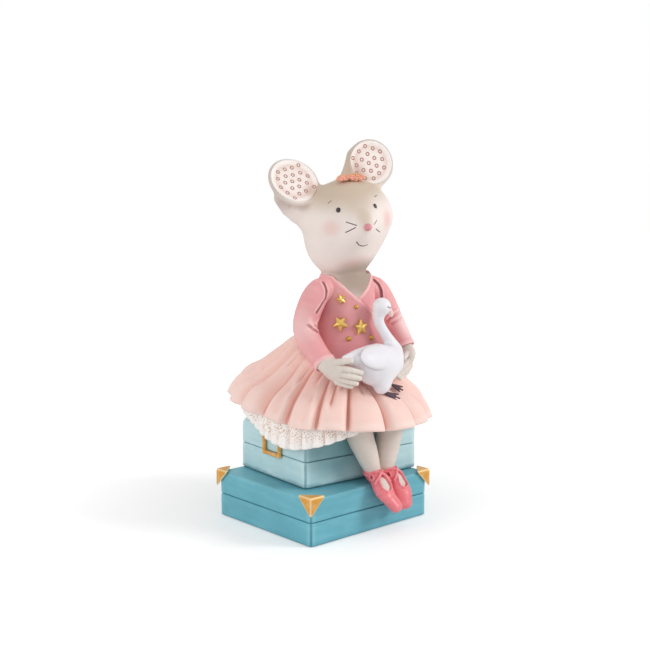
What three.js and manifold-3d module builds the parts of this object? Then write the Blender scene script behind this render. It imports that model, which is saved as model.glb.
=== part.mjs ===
// Money box: a seated mouse dancer holding a swan, on two stacked suitcases.
// Millimetres, +Z up. The mouse looks along -Y and its left hand is on the +X side.
// The suitcases are hollow and joined, so coins drop from the slot in the back of the
// upper one to the rubber stopper under the lower one. The figure stands on top of them.
import * as THREE from "three";
import { ConvexGeometry } from "three/addons/geometries/ConvexGeometry.js";
import { mergeVertices } from "three/addons/utils/BufferGeometryUtils.js";
import Module from "manifold-3d";

const wasm = await Module();
wasm.setup();

// Gaps and finishes shared by every casting
const seatGap = 0.3; // glue line between two castings that touch
const seamRound = 0.6; // rounded edge where a lid meets its tray

// Lower suitcase
const lowerWidth = 73;
const lowerDepth = 66;
const lowerTrayHeight = 10.4;
const lowerLidHeight = 10.4;
const lowerWall = 4;
const lowerFloor = 4.6;
const lowerTop = 3.5;
const lowerCorner = 2; // upright edges, seen from above
const lowerTopRound = 1.2;

// Upper suitcase, set askew on the lower one
const upperWidth = 65.5;
const upperDepth = 52.5;
const upperTrayHeight = 11.7;
const upperLidHeight = 12.9;
const upperWall = 3.6;
const upperFloor = 3.4;
const upperTop = 3.5;
const upperCorner = 1.6;
const upperTopRound = 4.5;
const upperShiftX = 7.1;
const upperShiftY = 4;
const upperYaw = THREE.MathUtils.degToRad(-5);

// Lip that centres each lid on its tray
const lipHeight = 1.8;
const lipThickness = 1.2;

// Coin path: slot in the back, passage between the suitcases, stopper hole in the floor
const slotLength = 32;
const slotHeight = 4.6;
const slotBelowTop = 6.3; // from the top of the lid to the middle of the slot
const passageWidth = 32;
const passageDepth = 29;
const passageCorner = 4;
const stopperHole = 15.6; // radius
const stopperRecess = 19.4; // radius of the seat for the flange
const recessDepth = 2.4;
const stopperFit = 0.3; // radial room round the plug
const stopperFlange = 1.7; // flange thickness
const stopperRise = 1.8; // plug above the floor inside the box
const stopperSkin = 2.2;
const pullWidth = 3;

// Gilt corner caps and the handle on the side of the upper suitcase
const capReachX = 6.4;
const capReachY = 6.2;
const capReachZ = 6.2;
const capThickness = 0.9;
const handleWidth = 14.6;
const handleHeight = 9.6;
const handleBar = 1.3;
const handleFromFront = 24; // from the front face of the upper suitcase to the handle's middle
const handleBottom = 10; // above the bottom of the upper suitcase

// Seat of the figure on the upper suitcase
const figureX = 6;
const figureY = -10;

// Skirt, measured from the seat
const waistHalfWidth = 17.2;
const waistHalfDepth = 15;
const waistHeight = 28.5;
const waistTilt = 9.5;
const hemRadius = 46.6;
const hemShiftX = 1.5;
const hemShiftY = 13.5;
const hemHeight = 6.4;
const hemTilt = 5.5;
const hemLowSide = THREE.MathUtils.degToRad(20);
const skirtWall = 2.4;
const skirtCeiling = 15.5;
const pleatDepth = 2;
const frontCreases = [-99, -86, -66, -50, -34.5, -11, 16]; // degrees round from the front
const backPleats = 13;

// Petticoat frill under the skirt
const frillRadius = 40.4;
const frillSpread = 3.9; // more than that at the front corner of the suitcase
const frillDrop = 13; // below the skirt's hem, where it shows most
const frillThickness = 2;
const frillCount = 20;
const frillDepth = 0.9;

// Bodice, neck and head
const chestHalfWidth = 15.2;
const chestHalfDepth = 12.4;
const bellyHalfDepth = 14.4;
const collarRadius = 10.2;
const collarHeight = 70.5;
const necklineDepth = 12.5;
const neckRadius = 8.6;
const skinInset = 1; // chest skin below the bodice's surface
const headHalfWidth = 21.3;
const headHalfDepth = 19.5;
const headCrown = 18.8; // from the widest level up
const headChin = 25.5; // from the widest level down
const headAboveCollar = 22.9; // to the widest level of the head
const snoutLength = 4.6;
const headYaw = THREE.MathUtils.degToRad(-22);
const headRoll = THREE.MathUtils.degToRad(-11);
const noseRadius = 1.9;
const noseBelow = 2; // below the widest level of the head
const noseAside = 0.7; // the snout points a little to its right
const flowerRadius = 2.4;
const flowerCount = 4;
const flowerStart = THREE.MathUtils.degToRad(-8);
const flowerSpan = THREE.MathUtils.degToRad(36);
const earRadius = 11.7;
const earCup = 4.6; // depth of the cup behind its rim
const earRim = 1.2;
const earRoot = 9.2; // radius of the funnel where it runs into the head
const liningRadius = 10.4;
const liningThickness = 1;
const dishDepth = 2.4;

// Arms
const sleeveShoulder = 5.8;
const sleeveElbow = 5.2;
const sleeveCuff = 4.3;
const palmWidth = 4.6;
const palmThickness = 2.5;
const fingerRadius = 1.25;

// Legs and slippers
const kneeRadius = 6.2;
const ankleRadius = 3.7;
const footWidth = 4.7;
const footThickness = 3.1;
const slipperThickness = 0.9;
const ribbonRadius = 0.75;

// Swan
const swanHalfLength = 16.6;
const swanHalfHeight = 9.6;
const swanHalfDepth = 7.6;
const swanNeckRoot = 4;
const swanNeckTop = 2.5;
const swanHeadRadius = 4.4;
const wingHalfLength = 9.6;
const wingHalfHeight = 5.2;
const wingThickness = 1.5;
const webLength = 6;
const webThickness = 1.1;

// Stars and studs on the bodice
const starRadius = 3.7;
const trimThickness = 0.9;
const studRadius = 1.25;

// Heights that follow from the sizes above
const lowerSeam = lowerTrayHeight;
const lowerLidBase = lowerSeam + seatGap;
const lowerHeight = lowerLidBase + lowerLidHeight;
const upperBase = lowerHeight + seatGap;
const upperSeam = upperTrayHeight;
const upperLidBase = upperSeam + seatGap;
const upperHeight = upperLidBase + upperLidHeight;
const seatHeight = upperBase + upperHeight;
const headHeight = collarHeight + headAboveCollar;

const finish = {
  teal: { color: 0x5aa3b3, roughness: 0.6, metalness: 0 },
  paleTeal: { color: 0xa9d0d6, roughness: 0.6, metalness: 0 },
  gilt: { color: 0xe0a445, roughness: 0.4, metalness: 0.4 },
  starGilt: { color: 0xc9a24a, roughness: 0.35, metalness: 0.7 },
  rubber: { color: 0x2c2c2e, roughness: 0.8, metalness: 0 },
  peach: { color: 0xf3c6bb, roughness: 0.6, metalness: 0 },
  rose: { color: 0xdb959b, roughness: 0.6, metalness: 0 },
  print: { color: 0xf7ebe2, roughness: 0.6, metalness: 0 },
  skin: { color: 0xd9cfc4, roughness: 0.6, metalness: 0 },
  lining: { color: 0xf6e6de, roughness: 0.6, metalness: 0 },
  slipper: { color: 0xe4707c, roughness: 0.5, metalness: 0 },
  white: { color: 0xf4f3f5, roughness: 0.5, metalness: 0 },
  flower: { color: 0xe0785c, roughness: 0.6, metalness: 0 },
  dark: { color: 0x4a3540, roughness: 0.6, metalness: 0 },
  beak: { color: 0xf2c4bc, roughness: 0.5, metalness: 0 },
};

// Points of one ring, and the closed skin through a stack of rings
function ring(count, point) {
  return Array.from({ length: count }, (_, i) => point((i / count) * Math.PI * 2, i));
}

function centreOf(points) {
  const sum = points.reduce((a, p) => a.add(p), new THREE.Vector3());
  return sum.divideScalar(points.length);
}

function skin(rings) {
  const count = rings[0].length;
  const points = [...rings.flat(), centreOf(rings[0]), centreOf(rings.at(-1))];
  const [startCap, endCap] = [points.length - 2, points.length - 1];
  const lastRing = (rings.length - 1) * count;
  const faces = [];
  for (let i = 0; i < count; i++) {
    const j = (i + 1) % count;
    faces.push(startCap, j, i, endCap, lastRing + i, lastRing + j);
    for (let r = 0; r < lastRing; r += count) {
      faces.push(r + i, r + j, r + count + j, r + i, r + count + j, r + count + i);
    }
  }
  return facingOut(new THREE.BufferGeometry().setFromPoints(points).setIndex(faces));
}

function signedVolume(geometry) {
  const at = geometry.getAttribute("position");
  const index = geometry.index.array;
  const [a, b, c] = [new THREE.Vector3(), new THREE.Vector3(), new THREE.Vector3()];
  let volume = 0;
  for (let i = 0; i < index.length; i += 3) {
    a.fromBufferAttribute(at, index[i]);
    b.fromBufferAttribute(at, index[i + 1]);
    c.fromBufferAttribute(at, index[i + 2]);
    volume += a.dot(b.cross(c)) / 6;
  }
  return volume;
}

function facingOut(geometry) {
  if (signedVolume(geometry) < 0) {
    const index = geometry.index.array;
    for (let i = 0; i < index.length; i += 3) {
      [index[i], index[i + 1]] = [index[i + 1], index[i]];
    }
  }
  return geometry;
}

// Booleans, on copies that hold positions only
function bare(geometry) {
  const copy = geometry.clone();
  for (const name of Object.keys(copy.attributes)) {
    if (name !== "position") copy.deleteAttribute(name);
  }
  return mergeVertices(copy, 1e-4);
}

function solidOf(geometry) {
  const merged = bare(geometry);
  const vertProperties = new Float32Array(merged.getAttribute("position").array);
  const triVerts = new Uint32Array(merged.index.array);
  return new wasm.Manifold(new wasm.Mesh({ numProp: 3, vertProperties, triVerts }));
}

function geometryOf(solid) {
  const { vertProperties, triVerts } = solid.getMesh();
  const positions = new THREE.BufferAttribute(new Float32Array(vertProperties), 3);
  const faces = new THREE.BufferAttribute(new Uint32Array(triVerts), 1);
  return new THREE.BufferGeometry().setAttribute("position", positions).setIndex(faces);
}

// The shape swollen by a gap, so that what it cuts keeps that gap to it
function grown(geometry, by = seatGap) {
  const merged = bare(geometry);
  merged.computeVertexNormals();
  const at = merged.getAttribute("position");
  const normal = merged.getAttribute("normal");
  for (let i = 0; i < at.count; i++) {
    const [x, y, z] = [at.getX(i), at.getY(i), at.getZ(i)];
    at.setXYZ(i, x + normal.getX(i) * by, y + normal.getY(i) * by, z + normal.getZ(i) * by);
  }
  merged.deleteAttribute("normal");
  return merged;
}

function without(geometry, ...tools) {
  const left = tools.reduce((solid, tool) => solid.subtract(solidOf(tool)), solidOf(geometry));
  return geometryOf(left);
}

// The piece fitted against its neighbours. Crumbs that a cut leaves loose are dropped.
function fitted(geometry, ...neighbours) {
  const cut = solidOf(without(geometry, ...neighbours.map((n) => grown(n))));
  const bodies = cut.decompose().sort((a, b) => b.volume() - a.volume());
  return geometryOf(bodies[0]);
}

function joined(...geometries) {
  const all = geometries.map(solidOf).reduce((a, b) => a.add(b));
  return geometryOf(all);
}

function common(a, b) {
  return geometryOf(solidOf(a).intersect(solidOf(b)));
}

function placed(geometry, x, y, z, turn = new THREE.Euler()) {
  const matrix = new THREE.Matrix4().makeRotationFromEuler(turn).setPosition(x, y, z);
  return geometry.clone().applyMatrix4(matrix);
}

function piece(name, geometry, look, at = [0, 0, 0]) {
  const mesh = new THREE.Mesh(geometry, new THREE.MeshStandardMaterial(look));
  mesh.name = name;
  mesh.position.set(...at);
  return mesh;
}

// Rounded rectangle as a ring, and the block that stands on it
function rectangleRing(width, depth, corner, z, arcSteps = 3) {
  const radius = Math.max(corner, 0.05);
  const [x, y] = [width / 2 - radius, depth / 2 - radius];
  const centres = [[x, y], [-x, y], [-x, -y], [x, -y]];
  return centres.flatMap(([cx, cy], quarter) =>
    Array.from({ length: arcSteps + 1 }, (_, i) => {
      const angle = (quarter + i / arcSteps) * (Math.PI / 2);
      return new THREE.Vector3(cx + radius * Math.cos(angle), cy + radius * Math.sin(angle), z);
    }),
  );
}

// A block from z0 to z1 with round upright edges and round or square top and bottom edges
function block(width, depth, z0, z1, corner, roundTop = 0, roundBottom = 0, steps = 3) {
  const level = (inset, z) =>
    rectangleRing(width - 2 * inset, depth - 2 * inset, corner - inset * 0.9, z);
  const arc = (radius, towardsEnd) =>
    Array.from({ length: steps + 1 }, (_, i) => {
      const angle = (towardsEnd ? i / steps : 1 - i / steps) * (Math.PI / 2);
      return [radius * (1 - Math.cos(angle)), radius * (1 - Math.sin(angle))];
    });
  const bottom = roundBottom
    ? arc(roundBottom, false).map(([inset, off]) => level(inset, z0 + off))
    : [level(0, z0)];
  const top = roundTop
    ? arc(roundTop, true).map(([inset, off]) => level(inset, z1 - off))
    : [level(0, z1)];
  return skin([...bottom, ...top]);
}

function disc(radius, z0, z1, segments = 28) {
  const geometry = new THREE.CylinderGeometry(radius, radius, z1 - z0, segments);
  return geometry.rotateX(Math.PI / 2).translate(0, 0, (z0 + z1) / 2);
}

// Suitcases
const lowerInnerWidth = lowerWidth - 2 * lowerWall;
const lowerInnerDepth = lowerDepth - 2 * lowerWall;
const upperInnerWidth = upperWidth - 2 * upperWall;
const upperInnerDepth = upperDepth - 2 * upperWall;

function lipOn(innerWidth, innerDepth, corner, floorTop, seam) {
  const outer = [innerWidth - 2 * seatGap, innerDepth - 2 * seatGap];
  const inner = outer.map((size) => size - 2 * lipThickness);
  const ringBody = block(...outer, floorTop, seam + lipHeight, corner);
  return without(ringBody, block(...inner, floorTop - 1, seam + lipHeight + 1, corner));
}

// The lip stands on a ledge inside the wall, so that the wall carries it
function trayShell(width, depth, height, wall, floor, corner) {
  const outer = block(width, depth, 0, height, corner, seamRound, seamRound);
  const [innerWidth, innerDepth] = [width - 2 * wall, depth - 2 * wall];
  const ledge = 2 * (lipThickness + seatGap);
  const cavity = block(innerWidth - ledge, innerDepth - ledge, floor, height + 1, corner / 2);
  const lip = lipOn(innerWidth, innerDepth, corner / 2, floor, height);
  return joined(without(outer, cavity), lip);
}

function lidShell(width, depth, height, wall, top, corner, topRound) {
  const outer = block(width, depth, 0, height, corner, topRound, seamRound, 4);
  const cavity = block(width - 2 * wall, depth - 2 * wall, -1, height - top, corner / 2);
  return without(outer, cavity);
}

function passage(z0, z1) {
  return block(passageWidth, passageDepth, z0, z1, passageCorner);
}

const toUpper = new THREE.Euler(0, 0, upperYaw);
const cutRun = 2; // how far a cutter runs past the face it cuts

function lowerTray() {
  const shell = trayShell(
    lowerWidth, lowerDepth, lowerTrayHeight, lowerWall, lowerFloor, lowerCorner,
  );
  const hole = disc(stopperHole, -cutRun, lowerFloor + cutRun);
  const recess = disc(stopperRecess, -cutRun, recessDepth);
  return without(shell, hole, recess);
}

function lowerLid() {
  const shell = lidShell(
    lowerWidth, lowerDepth, lowerLidHeight, lowerWall, lowerTop, lowerCorner, lowerTopRound,
  );
  const through = passage(lowerLidHeight - lowerTop - cutRun, lowerLidHeight + cutRun);
  return without(shell, placed(through, upperShiftX, upperShiftY, 0, toUpper));
}

function upperTray() {
  const shell = trayShell(
    upperWidth, upperDepth, upperTrayHeight, upperWall, upperFloor, upperCorner,
  );
  return without(shell, passage(-cutRun, upperFloor + cutRun));
}

// The slot is a stadium cut through the back wall
function coinSlot() {
  const end = slotHeight / 2;
  const shape = new THREE.Shape();
  shape.absarc(slotLength / 2 - end, 0, end, -Math.PI / 2, Math.PI / 2);
  shape.absarc(end - slotLength / 2, 0, end, Math.PI / 2, (3 * Math.PI) / 2);
  const depth = upperWall + 2 * cutRun;
  const bar = new THREE.ExtrudeGeometry(shape, { depth, bevelEnabled: false, curveSegments: 6 });
  const back = upperDepth / 2 + cutRun;
  return bar.rotateX(Math.PI / 2).translate(0, back, upperLidHeight - slotBelowTop);
}

function upperLid() {
  const shell = lidShell(
    upperWidth, upperDepth, upperLidHeight, upperWall, upperTop, upperCorner, upperTopRound,
  );
  return without(shell, coinSlot());
}

// The whole outside of each suitcase, for cutting what leans on it
const lowerBlock = block(lowerWidth, lowerDepth, 0, lowerHeight, lowerCorner, lowerTopRound);
const upperBlock = block(upperWidth, upperDepth, 0, upperHeight, upperCorner, upperTopRound, 0, 4);
const upperBlockInPlace = placed(upperBlock, upperShiftX, upperShiftY, upperBase, toUpper);

// A cap wraps one top corner: the corner of a swollen case, cut off by a slanting plane
function cornerCap(sideX, sideY) {
  const margin = 3 * capThickness;
  const far = [lowerWidth / 2 + margin, lowerDepth / 2 + margin, lowerHeight + margin];
  const tip = new THREE.Vector3(sideX * far[0], sideY * far[1], far[2]);
  const reach = [capReachX, capReachY, capReachZ].map((r) => r + 3 * margin);
  const corner = new ConvexGeometry([
    tip,
    tip.clone().add(new THREE.Vector3(-sideX * reach[0], 0, 0)),
    tip.clone().add(new THREE.Vector3(0, -sideY * reach[1], 0)),
    tip.clone().add(new THREE.Vector3(0, 0, -reach[2])),
  ]);
  const swell = 2 * (capThickness + seatGap);
  const outside = block(
    lowerWidth + swell, lowerDepth + swell, 0, lowerHeight + swell / 2, lowerCorner, 1,
  );
  return fitted(common(outside, corner), lowerBlock, upperBlockInPlace);
}

// A flat loop that hangs against the side of the upper suitcase
function sideHandle() {
  const shape = new THREE.Shape(
    rectangleRing(handleWidth, handleHeight, handleBar, 0).map((p) => new THREE.Vector2(p.x, p.y)),
  );
  const inner = rectangleRing(
    handleWidth - 2 * handleBar, handleHeight - 2 * handleBar, handleBar / 2, 0,
  );
  shape.holes.push(new THREE.Path(inner.reverse().map((p) => new THREE.Vector2(p.x, p.y))));
  const bevel = handleBar / 4;
  const loop = new THREE.ExtrudeGeometry(shape, {
    depth: handleBar - 2 * bevel,
    bevelThickness: bevel,
    bevelSize: bevel,
    bevelOffset: -bevel,
    bevelSegments: 1,
  });
  const turned = loop.translate(0, 0, bevel).rotateX(Math.PI / 2).rotateZ(-Math.PI / 2);
  const x = -upperWidth / 2 - seatGap;
  return turned.translate(x, handleFromFront - upperDepth / 2, handleBottom + handleHeight / 2);
}

// Rubber stopper: a flange in the recess, a hollow plug in the hole and a ridge to pull it by
function stopper() {
  const plug = stopperHole - stopperFit;
  const flange = stopperRecess - stopperFit;
  const face = recessDepth - stopperFlange - seatGap;
  const seat = recessDepth - seatGap;
  const top = lowerFloor + stopperRise;
  const profile = [
    [0, face], [flange, face], [flange, seat], [plug, seat], [plug, top - 1], [plug - 0.8, top],
    [plug - stopperSkin, top], [plug - stopperSkin, seat + 0.6], [0, seat + 0.6],
  ].map(([r, z]) => new THREE.Vector2(r, z));
  const body = facingOut(
    bare(new THREE.LatheGeometry(profile, 28).rotateX(Math.PI / 2)),
  );
  const dimple = disc(stopperHole * 0.62, -cutRun, face + stopperFlange * 0.55, 24);
  const ridge = block(stopperHole, pullWidth, face, face + stopperFlange, 1);
  return joined(without(body, dimple), ridge);
}

// Limbs: a smooth path with a section that changes along it, closed by round ends
function limb(stops, { around = 12, along = 10, endSteps = 2, up = [0, 0, 1] } = {}) {
  const path = new THREE.CatmullRomCurve3(stops.map((s) => new THREE.Vector3(...s.at)));
  const upward = new THREE.Vector3(...up);
  const size = (t, key) => {
    const x = THREE.MathUtils.clamp(t, 0, 1) * (stops.length - 1);
    const i = Math.min(Math.floor(x), stops.length - 2);
    const blend = THREE.MathUtils.smoothstep(x - i, 0, 1);
    return THREE.MathUtils.lerp(stops[i][key], stops[i + 1][key], blend);
  };
  const frame = (t) => {
    const tangent = path.getTangent(THREE.MathUtils.clamp(t, 0, 1));
    const side = new THREE.Vector3().crossVectors(upward, tangent).normalize();
    const top = new THREE.Vector3().crossVectors(tangent, side).normalize();
    return { tangent, side, top };
  };
  // A point on the limb's surface: angle 0 is to its side, a quarter turn is its top
  const on = (t, angle, lift = 0) => {
    const { side, top } = frame(t);
    return path.getPoint(t)
      .addScaledVector(side, (size(t, "wide") + lift) * Math.cos(angle))
      .addScaledVector(top, (size(t, "thick") + lift) * Math.sin(angle));
  };
  const section = (t, shrink, push) => {
    const { tangent, side, top } = frame(t);
    const centre = path.getPoint(t).addScaledVector(tangent, push);
    return ring(around, (a) =>
      centre.clone()
        .addScaledVector(side, size(t, "wide") * shrink * Math.cos(a))
        .addScaledVector(top, size(t, "thick") * shrink * Math.sin(a)),
    );
  };
  const cap = (t, sign) =>
    Array.from({ length: endSteps }, (_, i) => {
      const angle = ((i + 1) / (endSteps + 0.35)) * (Math.PI / 2);
      const reach = Math.min(size(t, "wide"), size(t, "thick")) * Math.sin(angle);
      return section(t, Math.cos(angle), sign * reach);
    });
  const body = Array.from({ length: along + 1 }, (_, i) => section(i / along, 1, 0));
  const shape = skin([...cap(0, -1).reverse(), ...body, ...cap(1, 1)]);
  return { shape, on, path };
}

const stop = (at, wide, thick = wide) => ({ at, wide, thick });

// An ellipsoid whose surface is moved by a sculpting function of its unit direction
function sculpted(across, rows, at) {
  const ball = bare(new THREE.SphereGeometry(1, across, rows).rotateX(Math.PI / 2));
  const positions = ball.getAttribute("position");
  const direction = new THREE.Vector3();
  for (let i = 0; i < positions.count; i++) {
    const p = at(direction.fromBufferAttribute(positions, i).normalize());
    positions.setXYZ(i, p.x, p.y, p.z);
  }
  return facingOut(ball);
}

// Skirt. The angle runs round the figure: 0 is its front, a quarter turn its left side.
const outward = (angle) => new THREE.Vector3(Math.sin(angle), -Math.cos(angle), 0);

function hemPoint(angle, radius, below = 0) {
  const z = hemHeight + hemTilt * Math.cos(angle + Math.PI - hemLowSide) - below;
  return outward(angle).multiplyScalar(radius).add(new THREE.Vector3(hemShiftX, hemShiftY, z));
}

function waistPoint(angle) {
  const [x, y] = [waistHalfWidth * Math.sin(angle), -waistHalfDepth * Math.cos(angle)];
  return new THREE.Vector3(x, y, waistHeight - waistTilt * Math.cos(angle));
}

// Creases lie where the front of the skirt shows them, and evenly round its back
const firstCrease = THREE.MathUtils.degToRad(frontCreases[0]);
const lastCrease = THREE.MathUtils.degToRad(frontCreases.at(-1));
const backStep = (firstCrease + 2 * Math.PI - lastCrease) / backPleats;
const creases = [
  ...frontCreases.map((angle) => THREE.MathUtils.degToRad(angle)),
  ...Array.from({ length: backPleats }, (_, i) => lastCrease + (i + 1) * backStep),
];
const pleatCount = creases.length - 1;

// A share of the way round, counted in pleats, so that each pleat has as many faces
function pleatAngle(share) {
  const i = Math.min(Math.floor(share * pleatCount), pleatCount - 1);
  return THREE.MathUtils.lerp(creases[i], creases[i + 1], share * pleatCount - i);
}

// The share at a given angle, for what is laid on the skirt
function shareAt(degrees) {
  const turn = 2 * Math.PI;
  const angle = ((THREE.MathUtils.degToRad(degrees) - firstCrease + turn) % turn) + firstCrease;
  const i = creases.findIndex((crease) => crease > angle) - 1;
  return (i + (angle - creases[i]) / (creases[i + 1] - creases[i])) / pleatCount;
}

// Full round folds with a narrow crease between each pair: 0 in a crease, 1 on a crest
const fold = (share) => Math.pow(Math.abs(Math.sin(Math.PI * pleatCount * share)), 0.6);

// Crests are domed and fall steeply at the hem, creases run straighter down
const crestDrop = (run) => 0.25 * run + 0.35 * run ** 2 + 0.4 * run ** 8;
const creaseDrop = (run) => 0.4 * run + 0.38 * run ** 2 + 0.22 * run ** 7;

function skirtPoint(share, run) {
  const angle = pleatAngle(share);
  const crest = fold(share);
  const drop = THREE.MathUtils.lerp(creaseDrop(run), crestDrop(run), crest);
  const from = waistPoint(angle);
  const to = hemPoint(angle, hemRadius);
  const point = from.clone().lerp(to, run).setZ(THREE.MathUtils.lerp(from.z, to.z, drop));
  const spread = THREE.MathUtils.smoothstep(run, 0, 0.1) * THREE.MathUtils.lerp(0.45, 1, run);
  return point.addScaledVector(outward(angle), pleatDepth * spread * (crest - 0.6));
}

// The underside of the skirt, and with a gap the top of the petticoat
const undersideReaches = [1, 0.82, 0.45];

function undersidePoint(angle, reach, below = 0) {
  const edge = hemPoint(angle, hemRadius - skirtWall);
  const centre = new THREE.Vector3(hemShiftX, hemShiftY, 0);
  const point = centre.lerp(edge, reach);
  return point.setZ(THREE.MathUtils.lerp(skirtCeiling, edge.z, reach ** 4) - below);
}

const skirtAround = pleatCount * 4; // a crease, a crest and one point between on each side

function skirtShape() {
  const even = (point) => ring(skirtAround, (_, i) => point(i / skirtAround));
  const runs = [0, 0.14, 0.36, 0.58, 0.76, 0.9, 1];
  const outer = runs.map((run) => even((share) => skirtPoint(share, run)));
  const edge = even((share) => {
    const rim = skirtPoint(share, 1).lerp(undersidePoint(pleatAngle(share), 1), 0.45);
    return rim.setZ(rim.z - skirtWall * 0.35);
  });
  const inner = undersideReaches.map((reach) =>
    even((share) => undersidePoint(pleatAngle(share), reach)),
  );
  return skin([...outer, edge, ...inner]);
}

// The frill hangs lowest at the right of the figure and is hitched up over the knees
const fullSide = THREE.MathUtils.degToRad(-85);
const kneeSide = THREE.MathUtils.degToRad(18);
const cornerSide = THREE.MathUtils.degToRad(-57);

function apart(angle, centre) {
  return Math.abs(((angle - centre + 3 * Math.PI) % (2 * Math.PI)) - Math.PI);
}

function frillHang(angle) {
  const knees = 1 - THREE.MathUtils.smoothstep(apart(angle, kneeSide), 0.45, 1.65);
  const full = 0.68 + 0.32 * Math.cos(apart(angle, fullSide));
  return THREE.MathUtils.lerp(frillDrop * full, -1.2, knees);
}

// It spreads where it falls round the front corner of the upper suitcase
function frillReach(angle) {
  const off = THREE.MathUtils.smoothstep(apart(angle, cornerSide), 0.15, 0.9);
  return frillRadius + frillSpread * (1 - off);
}

const frillAround = frillCount * 4;
const frillWave = (angle) => frillDepth * Math.cos(frillCount * angle);

function petticoatShape() {
  const [rim, shoulder, crown] = undersideReaches;
  const top = [crown, shoulder].map((reach) =>
    ring(frillAround, (a) => undersidePoint(a, reach, 2 * seatGap)),
  );
  const shoulderEdge = ring(frillAround, (a) => {
    const edge = undersidePoint(a, rim, 2 * seatGap);
    return undersidePoint(a, shoulder, 2 * seatGap).lerp(edge, 0.72);
  });
  const side = [0.4, 1].map((down) =>
    ring(frillAround, (a) => {
      const radius = THREE.MathUtils.lerp(hemRadius - skirtWall - 1.4, frillReach(a), down);
      return hemPoint(a, radius + frillWave(a), frillHang(a) * down + 0.6);
    }),
  );
  const hem = ring(frillAround, (a) => {
    const radius = frillReach(a) - frillThickness + frillWave(a);
    return hemPoint(a, radius, frillHang(a) + 0.4);
  });
  const seat = ring(frillAround, (a) => {
    const p = hemPoint(a, frillRadius - 2 * frillThickness);
    return p.setZ(Math.max(seatGap, p.z - frillHang(a) * 0.5));
  });
  const middle = ring(frillAround, (a) => hemPoint(a, frillRadius / 3).setZ(seatGap));
  return skin([...top, shoulderEdge, ...side, hem, seat, middle]);
}

// Bodice: oval sections from the waist to the collar, with heights as shares of the collar's
const bodiceLevels = [
  { up: 0.2, wide: 0.9, deep: 0.88 },
  { up: 0.31, wide: 1.06, deep: 0.98 },
  { up: 0.44, wide: 1.12, deep: 1 },
  { up: 0.54, wide: 1.13, deep: 1 },
  { up: 0.64, wide: 1.08, deep: 0.96 },
  { up: 0.74, wide: 1, deep: 0.88 },
  { up: 0.84, wide: 0.98, deep: 0.83 },
  { up: 0.91, wide: 0.96, deep: 0.78 },
  { up: 0.965, wide: 0.82, deep: 0.74 },
].map((level) => ({ ...level, z: level.up * collarHeight }));

function bodiceSection(z) {
  const found = bodiceLevels.findIndex((level) => level.z >= z);
  const i = THREE.MathUtils.clamp(found, 1, bodiceLevels.length - 1);
  const [a, b] = [bodiceLevels[i - 1], bodiceLevels[i]];
  const share = THREE.MathUtils.clamp((z - a.z) / (b.z - a.z), 0, 1);
  return {
    wide: chestHalfWidth * THREE.MathUtils.lerp(a.wide, b.wide, share),
    deep: bellyHalfDepth * THREE.MathUtils.lerp(a.deep, b.deep, share),
  };
}

function bodicePoint(angle, z, lift = 0) {
  const { wide, deep } = bodiceSection(z);
  const back = THREE.MathUtils.lerp(1, chestHalfDepth / bellyHalfDepth, 0.5 - 0.5 * Math.cos(angle));
  const [x, y] = [(wide + lift) * Math.sin(angle), -(deep * back + lift) * Math.cos(angle)];
  return new THREE.Vector3(x, y, z);
}

function bodiceShape() {
  const around = 20;
  const levels = bodiceLevels.map(({ z }) => ring(around, (a) => bodicePoint(a, z)));
  const collar = [[1.06, -1.4], [1, 0]].map(([share, drop]) =>
    ring(around, (a) =>
      outward(a).multiplyScalar(collarRadius * share).setZ(collarHeight + drop),
    ),
  );
  return skin([...levels, ...collar]);
}

// Neck and the chest skin that shows in the neckline
function neckShape() {
  const around = 12;
  const levels = [0.71, 0.81, 0.88, 0.95].map((up) =>
    ring(around, (a) =>
      bodicePoint(a, up * collarHeight, -skinInset).multiply(new THREE.Vector3(0.8, 1, 1)),
    ),
  );
  const throat = 3.5; // from the collar up to where the neck has widened to the chin
  const column = [[1.06, collarHeight - 1], [1.14, collarHeight + throat], [1, collarHeight + 2 * throat]];
  const rings = column.map(([share, z]) =>
    ring(around, (a) => outward(a).multiplyScalar(neckRadius * share).setZ(z)),
  );
  return skin([...levels, ...rings]);
}

function necklineCutter() {
  const half = collarRadius * 0.92;
  const point = -0.2 * collarRadius; // the wrap crosses a little to the figure's right
  const shape = new THREE.Shape();
  shape.moveTo(point, collarHeight - necklineDepth);
  shape.quadraticCurveTo(half * 0.75, collarHeight - necklineDepth * 0.55, half, collarHeight + 1);
  shape.lineTo(-half, collarHeight + 1);
  shape.quadraticCurveTo(
    -half * 0.85, collarHeight - necklineDepth * 0.55, point, collarHeight - necklineDepth,
  );
  const wedge = new THREE.ExtrudeGeometry(shape, {
    depth: 2 * bellyHalfDepth,
    bevelEnabled: false,
    curveSegments: 6,
  });
  return wedge.rotateX(Math.PI / 2);
}

// Head. Its own frame looks along -Y, then it is turned and tilted on the neck.
const headTurn = new THREE.Euler(0, headRoll, headYaw, "ZYX");
const headPlace = new THREE.Matrix4().makeRotationFromEuler(headTurn);
headPlace.setPosition(0, 0, headHeight);
const onHead = (geometry) => geometry.clone().applyMatrix4(headPlace);

const noseDirection = new THREE.Vector3(-noseAside, -headHalfDepth, -noseBelow).normalize();

function headSurface(direction) {
  const towardsNose = Math.acos(THREE.MathUtils.clamp(direction.dot(noseDirection), -1, 1));
  const bump = snoutLength * Math.exp(-((towardsNose / 0.42) ** 2));
  const low = THREE.MathUtils.smoothstep(-direction.z, 0, 1);
  const tall = direction.z > 0 ? headCrown : headChin;
  const taper = 1 - 0.1 * low;
  const point = new THREE.Vector3(
    direction.x * headHalfWidth * taper,
    direction.y * headHalfDepth * taper,
    direction.z * tall,
  );
  return point.addScaledVector(noseDirection, bump);
}

function headShape() {
  return onHead(sculpted(26, 16, headSurface));
}

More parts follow.
